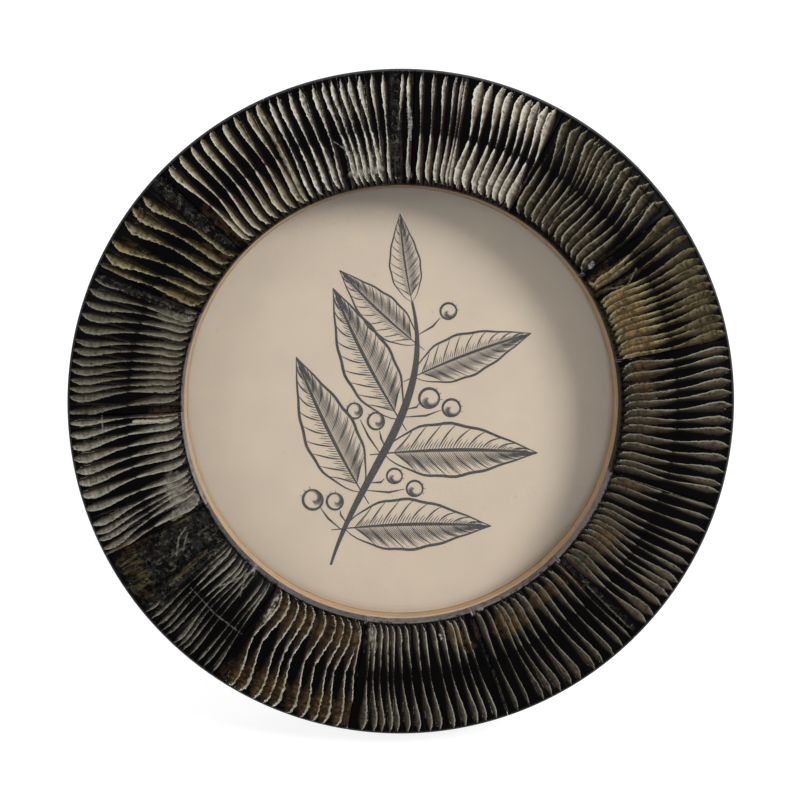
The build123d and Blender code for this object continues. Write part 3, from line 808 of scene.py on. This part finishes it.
def filed_horn_group():
    """Black polished horn, paler and dull where the file has cut it."""
    tree, given, result = new_group("ShaderNodeTree", "filed horn", {
        "Color": plate_tones + ("polished",), "Float": plate_looks,
    }, {"Color": ("Color",), "Float": ("Roughness", "Height")})
    place = object_place(tree)
    cut, across, tone, reach, clock, chatter, edge, height = (
        read(tree, label)
        for label in ("cut", "across", "tone", "reach", "clock", "chatter", "edge", "height"))
    bark, worn, scratch, stain, resin, flake = (read(tree, kind) for kind in mark_kinds)
    pale, bed, deep, polished = (Value(tree, given[label]) for label in plate_tones + ("polished",))
    fade, line, tail, rim_light, foot_light, wall, mottle, middle = (
        Value(tree, given[label]) for label in plate_looks)
    fine = cloudy(place, 4.0, 2.0, 0.6)
    blotch = cloudy(place, 1.3, 2.0, 0.55)
    broad = cloudy(place, 0.45, 2.0)
    warm = cloudy(place, 0.75, 2.0)
    band = cloudy(combined(reach * 1.9, across * 0.5, tone * 30 + clock * 0.2), 1.0, 2.0, 0.55)
    scrape = cloudy(combined(reach * 0.7, clock * 3.2, tone), 1.0, 2.0, 0.6)
    hair = cloudy(combined(reach * 0.6, clock * 6.5, tone), 1.0, 2.0, 0.6)
    foot = smooth(reach, waist_reach + 0.2, waist_reach - 1.8)

    # A cut is pale along its left edge, brown in its bed and dark towards the right: partly the filed horn's
    # own tones, partly painted light on its left side and painted shade on its right side
    level = band + (fine - 0.5) * 0.3 + (scrape - 0.5) * 0.9 + (blotch - 0.5) * 0.8
    level = level + (hair - 0.5) * (0.5 + mottle) + (blotch - 0.5) * mottle * 1.4
    side = across + (fine - 0.5) * 0.2 + (blotch - 0.5) * 0.5
    lit = smooth(side, fade + 0.5, fade - 0.7) * smooth(level, 0.1, 0.8) * (0.65 + tone * 0.3)
    crisp = smooth(across + (fine - 0.5) * 0.15, -0.5, -0.85) * line * (0.45 + scrape * 1.1)
    waist = smooth(maths("ABSOLUTE", reach - waist_reach), 2.2, 0.3)
    lit = maths("MINIMUM", lit + crisp + waist * middle, 1.0)
    colour = mixed(smooth(warm, 0.42, 0.62) * 0.4, bed, warm_horn)
    colour = dimmed(colour, 0.4 + smooth(level, 0.0, 1.0) * 0.9)
    colour = mixed(lit, colour, pale)
    colour = mixed(smooth(side, fade * 0.7 + 0.1, 0.8) * 0.95, colour, deep)
    amber = mixed(smooth(side, 0.6, -0.4), stained_horn, golden_horn)
    amber = dimmed(amber, 0.4 + level * 0.9)
    stained = stain * smooth(blotch, 0.3, 0.6)
    colour = mixed(stained * 0.65 * (1 - maths("MINIMUM", crisp, 1.0) * 0.7), colour, amber)
    colour = dimmed(colour, rim_light + (foot_light - rim_light) * foot)

    # Between the cuts the horn is polished black, with the painted shade of the cut's dark side running out
    # into it
    spill = tail * (0.12 + foot * 0.2)
    near = smooth(cut, 0.0 - spill, 0.0) * smooth(across, 0.2, 1.0) * (0.5 + foot * 0.45)
    near = near * smooth(reach, outer_radius - 1.05, outer_radius - 2.25)
    land = mixed(near * smooth(level, 0.0, 0.6), dimmed(polished, 0.4 + broad), deep)
    land = mixed(stained * smooth(level, 0.1, 0.8) * 0.8, land, stained_horn)
    mask = smooth(cut + (fine - 0.5) * 0.02, -0.006, 0.014)
    mask = mask * smooth(side, 1.2 + fade * 0.2, 0.55 + fade * 0.2)
    colour = mixed(mask, land, colour)

    # Marks
    rubbed = mixed(smooth(level, 0.2, 0.85), dimmed(bed, 0.5), dimmed(pale, 0.85))
    colour = mixed(worn * (0.15 + scrape * 0.75), colour, rubbed)
    flaky = cloudy(place, 0.8, 3.0, 0.6, 1.2)
    grain = cloudy(combined(reach * 0.5, clock * 1.7, 0.0), 1.0, 3.0, 0.6)
    bent_place = vectors("ADD", place, vectors("MULTIPLY", combined(flaky, grain, warm), (2.4, 2.4, 2.4)))
    scales = add_node(tree, "ShaderNodeTexVoronoi", {"Vector": bent_place, "Scale": 0.75},
                      feature="DISTANCE_TO_EDGE")
    outline = smooth(Value(tree, scales.outputs["Distance"]), 0.075, 0.02)
    coarse = mixed(smooth(flaky, 0.42, 0.62), bark_black, bark_grey)
    coarse = mixed(outline * smooth(blotch, 0.46, 0.64) * 0.5, coarse, bark_scale)
    coarse = mixed(smooth(grain, 0.60, 0.68) * smooth(blotch, 0.35, 0.5) * 0.7, coarse, bark_grain)
    coarse = mixed(stain * smooth(grain, 0.46, 0.58) * 0.65, coarse, bark_moss)
    colour = mixed(bark * 0.94, colour, coarse)
    patchy = smooth(fine, 0.3, 0.6)
    colour = mixed(scratch * patchy * 0.75, colour, dimmed(pale, 0.7))
    # Resin smears, and a painted highlight along the inner wall, in the same greys
    smear_and_highlight = mixed(blotch, highlight_and_resin_grey, highlight_and_resin_white)
    colour = mixed(resin * patchy, colour, smear_and_highlight)
    colour = mixed(flake, colour, dimmed(flaked_horn, 0.6 + scrape * 0.6))
    # Painted highlight on the inner wall, mixed with resin, as strong as the plate's wall look
    wall_resin_and_highlight = smooth(reach, horn_inner_radius + 0.22, horn_inner_radius + 0.1) * wall
    colour = mixed(wall_resin_and_highlight * smooth(blotch, 0.25, 0.5), colour, dimmed(smear_and_highlight, 0.85))

    # Glue in the seams, and a painted grey highlight along the outer rim's rounded edge
    joint = smooth(edge + (fine - 0.5) * 0.08, 0.07, 0.02)
    glue = mixed(smooth(blotch, 0.6, 0.75) * 0.5, dimmed(polished, 0.6), dimmed(pale, 0.35))
    colour = mixed(joint, colour, glue)
    # Painted highlight: the dome's rounded outer edge is mixed towards a light grey
    corner = smooth(height + (blotch - 0.5) * 0.5, horn_edge - 0.9, horn_edge - 0.5)
    corner = corner * smooth(reach, outer_radius - 0.45, outer_radius - 0.2)
    colour = mixed(corner * (0.1 + blotch * 0.7), colour, rim_highlight_grey)
    outer_wall = smooth(reach, outer_radius - 0.05, outer_radius - 0.01) * (0.3 + broad * 0.6 + scrape * 0.2)
    plug(result["Color"], mixed(outer_wall, colour, outer_grey))
    dull = maths("MAXIMUM", mask, maths("MAXIMUM", bark, worn * 0.6))
    plug(result["Roughness"], 0.28 + broad * 0.1 + dull * 0.35)
    relief = (chatter * 0.3 + band * 0.5 + fine * 0.1) * mask + flaky * bark * 1.4 + grain * bark * 0.6
    plug(result["Height"], relief)
    return tree


def horn_finish(number, plate, group):
    finish, tree, shader = new_finish(f"filed horn {number}", Specular_IOR_Level=0.012)
    look = add_node(tree, "ShaderNodeGroup", node_tree=group)
    look.inputs["polished"].default_value = linear(black_horn)
    for label in plate_tones:
        look.inputs[label].default_value = linear(plate[label])
    for label in plate_looks:
        look.inputs[label].default_value = plate[label]
    plug(shader.inputs["Base Color"], look.outputs["Color"])
    plug(shader.inputs["Roughness"], look.outputs["Roughness"])
    bumped(shader, look.outputs["Height"], 0.07)
    return finish


def mark_points(number, first, last):
    """The rough patches, worn flats, scratches, stains, resin and painted highlights on one plate, as
    capsules on its face.
    """
    rows = []
    for kind, from_clock, from_reach, to_clock, to_reach, size in marks:
        middle = (from_clock + to_clock) / 2
        for turn in (0, 360):
            if first - 6 < middle + turn < last + 6:
                ends = []
                for clock, reach in ((from_clock, from_reach), (to_clock, to_reach)):
                    ends += [reach * sin(radians(clock)), reach * cos(radians(clock))]
                rows.append(ends + [size] + [float(kind == known) for known in mark_kinds])
    labels = ["from_x", "from_y", "to_x", "to_y", "size"] + [f"is_{kind}" for kind in mark_kinds]
    columns = dict(zip(labels, zip(*rows)))
    return point_cloud(f"marks {number}", [(0, 0, 0)] * len(rows), **columns)


def stroke_points(number, plate):
    """The strokes of one plate as loose points that carry their places and widths."""
    rows = []
    for order, (rim, waist, foot, outer_width, inner_width) in enumerate(plate["strokes"]):
        tone = 0.5 + 0.5 * sin(7.3 * number + 2.9 * order)
        low = 0.5 - 0.5 * cos(radians(rim))
        gap = plate["gap"] * (0.7 + 0.6 * tone) - 0.2
        if outer_width:
            start = stroke_rim + 0.35 * low - 0.25 * tone * (1 - low)
            rows.append((0, rim, waist, start, plate["waist"] + gap, outer_width, tone))
        if inner_width:
            end = stroke_foot + 0.2 - 0.2 * low
            rows.append((1, waist, foot, plate["waist"] - gap, end, inner_width, tone))
    labels = ("inner", "begin", "finish", "start", "end", "width", "tone")
    columns = dict(zip(labels, zip(*rows)))
    return point_cloud(f"strokes {number}", [(0, 0, 0)] * len(rows), **columns)


def make_plates():
    tree = carved_plate_tree()
    group = filed_horn_group()
    section = point_cloud("section", [(reach, height, 0) for reach, height in horn_section()])
    seams = [plate["seam"] for plate in plates] + [plates[0]["seam"] + 360]
    half_seam = horn_seam / outer_radius * 90 / pi
    for order, plate in enumerate(plates):
        number = order + 1
        strokes = stroke_points(number, plate)
        first = seams[order] + half_seam
        last = seams[order + 1] - half_seam
        middle_arc = radians(last - first) * (horn_inner_radius + outer_radius) / 2
        blemishes = mark_points(number, first, last)
        piece = made_from(tree, f"carved_plate_{number:02d}", **{
            "Section": section, "Strokes": strokes, "Marks": blemishes, "Ring face": ring_face,
            "Columns": round(middle_arc / mesh_step), "First seam": first, "Last seam": last,
            "Seam round": horn_seam_round, "File radius": file_radius, "Raggedness": plate["ragged"],
            "Pointed": plate["point"], "Seed": 10.0 * number, "Finish": horn_finish(number, plate, group)})
        put_away(strokes, blemishes)
        closed_below(piece)
        piece.data.transform(FACE)
        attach(piece, "frame")
        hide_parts(f"horn_segment_{number:02d}")
    put_away(section)


# Turned ring with the lip in front of the glass


def turned(name, section, steps):
    """A closed section turned round the middle of the face, as a smooth mesh."""
    shell = bmesh.new()
    loops = []
    for step in range(steps):
        angle = 2 * pi * step / steps
        loops.append([shell.verts.new((r * sin(angle), r * cos(angle), z)) for r, z in section])
    for step, loop in enumerate(loops):
        ahead_loop = loops[(step + 1) % steps]
        for place in range(len(section)):
            after = (place + 1) % len(section)
            shell.faces.new((loop[place], ahead_loop[place], ahead_loop[after], loop[after]))
    bmesh.ops.recalc_face_normals(shell, faces=shell.faces)
    for face in shell.faces:
        face.smooth = True
    mesh = bpy.data.meshes.new(name)
    shell.to_mesh(mesh)
    shell.free()
    mesh.set_sharp_from_angle(angle=radians(ring_corner))
    mesh.transform(FACE)
    return placed_object(name, mesh)


def wood_finish():
    finish, tree, shader = new_finish("stained ring wood", Specular_IOR_Level=0.3)
    place = object_place(tree)
    grain = cloudy(vectors("MULTIPLY", place, (0.25, 1.6, 1.6)), 1.2, 4.0, 0.6, 0.6)
    fleck = cloudy(place, 6.0, 2.0, 0.6)
    height = read(tree, "height")
    deeper = smooth(height + (fleck - 0.5) * 0.3, ring_face - 1.2, ring_face - 1.6)
    light = mixed(deeper, lip_wood, lip_gold)
    behind = smooth(height + (fleck - 0.5) * 0.2, glass_front + 0.4, glass_front + 0.2)
    light = mixed(behind, light, lip_shadow)
    light = dimmed(light, 0.65 + grain * 0.6 + fleck * 0.15)
    dark = dimmed(ring_stain, 0.6 + grain * 0.8)
    on_lip = smooth(read(tree, "reach"), lip_radius + 1.5, lip_radius + 1.1)
    plug(shader.inputs["Base Color"], mixed(on_lip, dark, light))
    plug(shader.inputs["Roughness"], 0.42 + fleck * 0.2)
    bumped(shader, grain, 0.05)
    return finish


def make_ring():
    section = [
        (rabbet_radius, 0), (outer_radius - back_round, 0), (outer_radius, back_round),
        (outer_radius, ring_face), (lip_radius + lip_round, ring_face),
        (lip_radius + lip_round * 0.3, ring_face - lip_round * 0.3), (lip_radius, ring_face - lip_round),
        (lip_radius, glass_front), (rabbet_radius, glass_front),
    ]
    ring = turned("turned_ring", section, ring_steps)
    into_face = FACE.inverted()
    places = [into_face @ vertex.co for vertex in ring.data.vertices]
    reach = ring.data.attributes.new("reach", "FLOAT", "POINT")
    reach.data.foreach_set("value", [place.to_2d().length for place in places])
    height = ring.data.attributes.new("height", "FLOAT", "POINT")
    height.data.foreach_set("value", [place.z for place in places])
    ring.data.materials.append(wood_finish())
    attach(ring, "frame")
    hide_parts("frame_core")


# The print: an inked sprig on aged paper, as thin flat lines just above it


def ink_line(shell, points, width):
    """One inked line through points in millimetres, thinner at both ends."""
    edges = []
    last = len(points) - 1
    for order, point in enumerate(points):
        along = (points[min(order + 1, last)] - points[max(order - 1, 0)]).normalized()
        half = width / 2 * (0.3 + 0.7 * sin(pi * order / last))
        side = Vector((-along.y, along.x)) * half
        edges.append([shell.verts.new((*(point + offset), 0)) for offset in (side, -side)])
    for (left, right), (next_left, next_right) in zip(edges, edges[1:]):
        shell.faces.new((left, right, next_right, next_left))


def drawing(name, lines):
    """A helper of inked lines, each a list of points and a width."""
    shell = bmesh.new()
    for points, width in lines:
        ink_line(shell, points, width)
    mesh = bpy.data.meshes.new(name)
    shell.to_mesh(mesh)
    shell.free()
    return placed_object(name, mesh)


def leaf_lines():
    """A lance-shaped leaf that points up: outline, midrib, side veins and hatching."""
    def rib(share):
        return Vector((leaf_bend * share**2, leaf_length * share))

    def half_width(share):
        swell = sin(pi * share**0.8) * (1 - 0.2 * share)
        return leaf_width / 2 * max(swell, 0.0) * (1 + 0.03 * sin(31 * share))

    def vein(side, start, reach, steps=6):
        """A line that leaves the midrib and curves up towards the edge."""
        points = []
        for step in range(steps + 1):
            out = reach * step / steps
            share = min(start + 0.14 * out**1.3, 0.995)
            points.append(rib(share) + Vector((side * half_width(share) * out, 0)))
        return points

    lines = [([rib(0) - Vector((0, 1.6))] + [rib(step / 16) for step in range(1, 17)], 0.42)]
    for side in (-1, 1):
        shares = [step / 24 for step in range(25)]
        lines.append(([rib(share) + Vector((side * half_width(share), 0)) for share in shares], 0.36))
        for order in range(9):
            start = 0.07 + 0.095 * order
            lines.append((vein(side, start, 0.96), 0.2))
            hatches = 6 if side > 0 else 4
            for hatch in range(1, hatches + 1):
                reach = 0.34 + 0.12 * (hatch % 2)
                if side > 0:
                    reach = 0.62 + 0.3 * sin(5.1 * order + 2.3 * hatch)**2
                lines.append((vein(side, start + 0.095 * hatch / (hatches + 1), reach, 4), 0.11))
    return lines


def berry_lines():
    """A round berry with a shaded side and a small crown."""
    ring = [Vector((cos(2 * pi * step / 20), sin(2 * pi * step / 20))) * berry_radius for step in range(21)]
    lines = [(ring, 0.42)]
    for order in range(8):
        depth = 0.97 - 0.13 * order
        low = -pi * (0.30 + 0.07 * order)
        high = low + pi * (0.92 - 0.07 * order)
        arc = [low + (high - low) * step / 8 - pi * 0.12 for step in range(9)]
        lines.append(([Vector((cos(a), sin(a))) * berry_radius * depth for a in arc], 0.2 - 0.01 * order))
    for turn in (-0.5, 0.0, 0.5):
        tip = Vector((-sin(turn), cos(turn))) * berry_radius
        lines.append(([tip * 0.9, tip * 1.35], 0.3))
    return lines


def stem_point(share):
    """Where the stem is, in millimetres on the print, from its foot at 0 to its end at 1."""
    a, b, c, d = (Vector(corner) for corner in stem_corners)
    rest = 1 - share
    return a * rest**3 + b * 3 * share * rest**2 + c * 3 * share**2 * rest + d * share**3


def stem_turn(share):
    along = stem_point(min(share + 0.01, 1.0)) - stem_point(max(share - 0.01, 0.0))
    return Vector((0, 1)).angle_signed(along) * -1


def sprig_tree():
    """Leaves and berries stood on points, with the stem, as one flat drawing."""
    tree, given, result = new_group("GeometryNodeTree", "sprig", {
        "Object": ("Stem", "Leaf", "Berry", "Places"), "Material": ("Finish",),
    }, {"Geometry": ("Sprig",)})
    joined = tree.nodes.new("GeometryNodeJoinGeometry")
    is_berry = named(tree, "berry") > 0.5
    for label, chosen in (("Leaf", 1 - is_berry), ("Berry", is_berry)):
        stood = add_node(tree, "GeometryNodeInstanceOnPoints", {
            "Points": shape_of(tree, given["Places"]), "Selection": chosen,
            "Instance": shape_of(tree, given[label]),
            "Rotation": combined(0.0, 0.0, named(tree, "turn")), "Scale": named(tree, "size")})
        plug(joined.inputs[0], stood.outputs[0])
    plug(joined.inputs[0], shape_of(tree, given["Stem"]))
    hand_out(tree, joined.outputs[0], given, result)
    return tree


def ink_finish():
    finish, tree, shader = new_finish("printed ink", Roughness=0.75, Specular_IOR_Level=0.15)
    worn = smooth(cloudy(object_place(tree), 2.6, 3.0, 0.6), 0.45, 0.75)
    plug(shader.inputs["Base Color"], mixed(worn * 0.35, ink_black, ink_faded))
    bumped(shader, worn, 0.005)
    return finish


def make_sprig():
    places = []
    turns = []
    sizes = []
    berries = []
    for share, side, length in sprig_leaves:
        places.append((*stem_point(share), 0))
        turns.append(stem_turn(share) - side * radians(62 - 12 * share))
        sizes.append(length / leaf_length)
        berries.append(0)
    stalks = [([stem_point(step / 40) for step in range(41)], 1.1)]
    for share, side, fan, stalk in sprig_berries:
        foot = stem_point(share)
        turn = stem_turn(share) - side * radians(62 - 12 * share + fan)
        tip = foot + Vector((-sin(turn), cos(turn))) * stalk
        middle = (foot + tip) / 2 + Vector((0, -0.4))
        stalks.append(([foot, middle, foot + (tip - foot) * (1 - berry_radius / stalk)], 0.3))
        places.append((*tip, 0))
        turns.append(turn)
        sizes.append(0.9 + 0.15 * sin(7 * share + fan))
        berries.append(1)
    leaf = drawing("leaf", leaf_lines())
    berry = drawing("berry", berry_lines())
    stem = drawing("stem", stalks)
    points = point_cloud("sprig places", places, turn=turns, size=sizes, berry=berries)
    sprig = made_from(sprig_tree(), "printed_sprig", **{
        "Stem": stem, "Leaf": leaf, "Berry": berry, "Places": points, "Finish": ink_finish()})
    put_away(leaf, berry, stem, points)
    sprig.data.transform(FACE @ Matrix.Translation((0, 0, photo_front + ink_lift)))
    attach(sprig, "frame")


# Finishes of the parts that keep their own shape


def glass_finish():
    finish, tree, shader = new_finish("clear glass", Roughness=0.0, IOR=1.45, Transmission_Weight=1.0)
    haze = cloudy(object_place(tree), 0.12, 2.0)
    plug(shader.inputs["Base Color"], mixed(haze, glass_white, glass_green))
    path = tree.nodes.new("ShaderNodeLightPath").outputs
    clear = tree.nodes.new("ShaderNodeBsdfTransparent")
    passing = maths("MAXIMUM", Value(tree, path["Is Shadow Ray"]), Value(tree, path["Is Diffuse Ray"]))
    seen = add_node(tree, "ShaderNodeMixShader", {0: passing, 1: shader.outputs[0], 2: clear.outputs[0]})
    plug(tree.nodes["Material Output"].inputs["Surface"], seen.outputs[0])
    return finish


def paper_finish():
    finish, tree, shader = new_finish("aged print paper", Roughness=0.85, Specular_IOR_Level=0.25)
    place = object_place(tree)
    fibre = cloudy(place, 3.2, 3.0, 0.7)
    speck = smooth(cloudy(place, 1.3, 2.0), 0.70, 0.76)
    tone = mixed(cloudy(place, 0.16, 3.0, 0.55), print_paper, pale_paper)
    tone = mixed(speck * 0.3, tone, paper_speck)
    plug(shader.inputs["Base Color"], dimmed(tone, 0.93 + fibre * 0.14))
    bumped(shader, fibre, 0.01)
    return finish


def velvet_finish():
    finish, tree, shader = new_finish(
        "black velvet", Roughness=0.95, Sheen_Weight=0.9, Sheen_Roughness=0.4, Specular_IOR_Level=0.1
    )
    place = object_place(tree)
    brushed = vectors("MULTIPLY", place, (1.0, 0.4, 0.4))
    nap = smooth(cloudy(brushed, 0.22, 3.0, 0.6, 0.8), 0.3, 0.7)
    pile = cloudy(place, 9.0, 2.0, 0.6)
    plug(shader.inputs["Base Color"], mixed(nap * 0.6 + pile * 0.4, velvet_black, velvet_nap))
    bumped(shader, pile, 0.08)
    return finish


def metal_finish(name, tone, tarnish, dull):
    finish, tree, shader = new_finish(name, Metallic=1.0)
    place = object_place(tree)
    brushed = cloudy(vectors("MULTIPLY", place, (6.0, 0.8, 6.0)), 1.0, 3.0, 0.6)
    patch = cloudy(place, 0.45, 3.0, 0.6, 0.6)
    spot = smooth(cloudy(place, 1.6, 3.0, 0.65), 0.6, 0.72)
    age = smooth(patch, 0.4, 0.75) * 0.45 + spot * 0.35
    plug(shader.inputs["Base Color"], dimmed(mixed(age, tone, tarnish), 0.85 + brushed * 0.3))
    plug(shader.inputs["Roughness"], dull + age * 0.25 + brushed * 0.12)
    bumped(shader, brushed, 0.02)
    return finish


def board_finish(name, tone, fibre_scale):
    finish, tree, shader = new_finish(name, Roughness=0.9, Specular_IOR_Level=0.2)
    place = object_place(tree)
    fibre = cloudy(place, fibre_scale, 4.0, 0.65)
    patch = cloudy(place, 0.2, 2.0)
    plug(shader.inputs["Base Color"], dimmed(tone, 0.75 + fibre * 0.35 + patch * 0.15))
    bumped(shader, fibre, 0.03)
    return finish


def dress_nodes():
    brass = metal_finish("aged brass", brass_gold, brass_brown, 0.24)
    steel = metal_finish("pin steel", steel_white, steel_grey, 0.25)
    velvet = velvet_finish()
    card = board_finish("grey card", card_grey, 3.0)
    fibreboard = board_finish("fibreboard", board_brown, 5.0)
    finishes = dict(
        glass_disc=glass_finish(), photo_insert=paper_finish(), filler_card=card, back_board=fibreboard,
        back_cover=velvet, leg_cover=velvet, easel_leg=fibreboard, hinge_pin=steel,
        hinge_plate=brass, leg_bracket=brass, plate_rivets=brass, bracket_rivets=brass,
        turn_button_screws=brass, turn_button_1=brass, turn_button_2=brass, turn_button_3=brass,
        turn_button_4=brass,
    )
    for name, finish in finishes.items():
        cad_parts[name].data.materials.clear()
        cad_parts[name].data.materials.append(finish)


# Studio: a pale floor, soft lamps and the camera


def seen_directly(tree):
    """1 where the background is seen by the camera, in a reflection or through the glass."""
    path = tree.nodes.new("ShaderNodeLightPath").outputs
    mirrored = maths("MAXIMUM", Value(tree, path["Is Glossy Ray"]), Value(tree, path["Is Transmission Ray"]))
    return maths("MAXIMUM", Value(tree, path["Is Camera Ray"]), mirrored)


def make_floor():
    mesh = bpy.data.meshes.new("floor")
    corners = [(x * floor_half, y * floor_half, 0) for x, y in ((-1, -1), (1, -1), (1, 1), (-1, 1))]
    mesh.from_pydata(corners, [], [(0, 1, 2, 3)])
    finish, tree, shader = new_finish("pale floor", Roughness=0.9, Specular_IOR_Level=0.0)
    shader.inputs["Base Color"].default_value = (floor_grey, floor_grey, floor_grey, 1)
    shader.inputs["Emission Color"].default_value = (1, 1, 1, 1)
    plug(shader.inputs["Emission Strength"], seen_directly(tree) * floor_glow)
    mesh.materials.append(finish)
    placed_object("floor", mesh)


def make_lamp(name, place, target, size, power):
    light = bpy.data.lights.new(name, "AREA")
    light.shape = "DISK"
    light.size = size
    light.energy = power
    lamp = placed_object(name, light)
    lamp.location = place
    lamp.rotation_euler = (place - target).to_track_quat("Z", "Y").to_euler()


def make_world():
    world = bpy.data.worlds.new("studio")
    world.use_nodes = True
    bpy.context.scene.world = world
    back = world.node_tree.nodes["Background"]
    back.inputs["Color"].default_value = (1, 1, 1, 1)
    plug(back.inputs["Strength"], room_light + seen_directly(world.node_tree) * (1 - room_light))


def make_camera(target):
    azimuth = radians(camera_azimuth)
    elevation = radians(camera_elevation)
    back = Vector((sin(azimuth) * cos(elevation), -cos(azimuth) * cos(elevation), sin(elevation)))
    data = bpy.data.cameras.new("camera")
    data.sensor_width = film_width
    data.lens = film_width * camera_distance / camera_seen_width
    data.clip_start = 0.01
    camera = placed_object("camera", data)
    camera.location = target + back * camera_distance
    upright = back.to_track_quat("Z", "Y")
    camera.rotation_euler = (upright @ Quaternion((0, 0, 1), radians(camera_roll))).to_euler()
    bpy.context.scene.camera = camera


def make_studio():
    target = FACE @ Vector(aim)
    make_camera(target)
    make_floor()
    make_world()
    for name, offset, size, power in lamps:
        make_lamp(name, target + Vector(offset), target, size, power)
    bpy.context.scene.view_settings.view_transform = "Standard"


make_studio()
make_ring()
make_plates()
make_sprig()
dress_nodes()
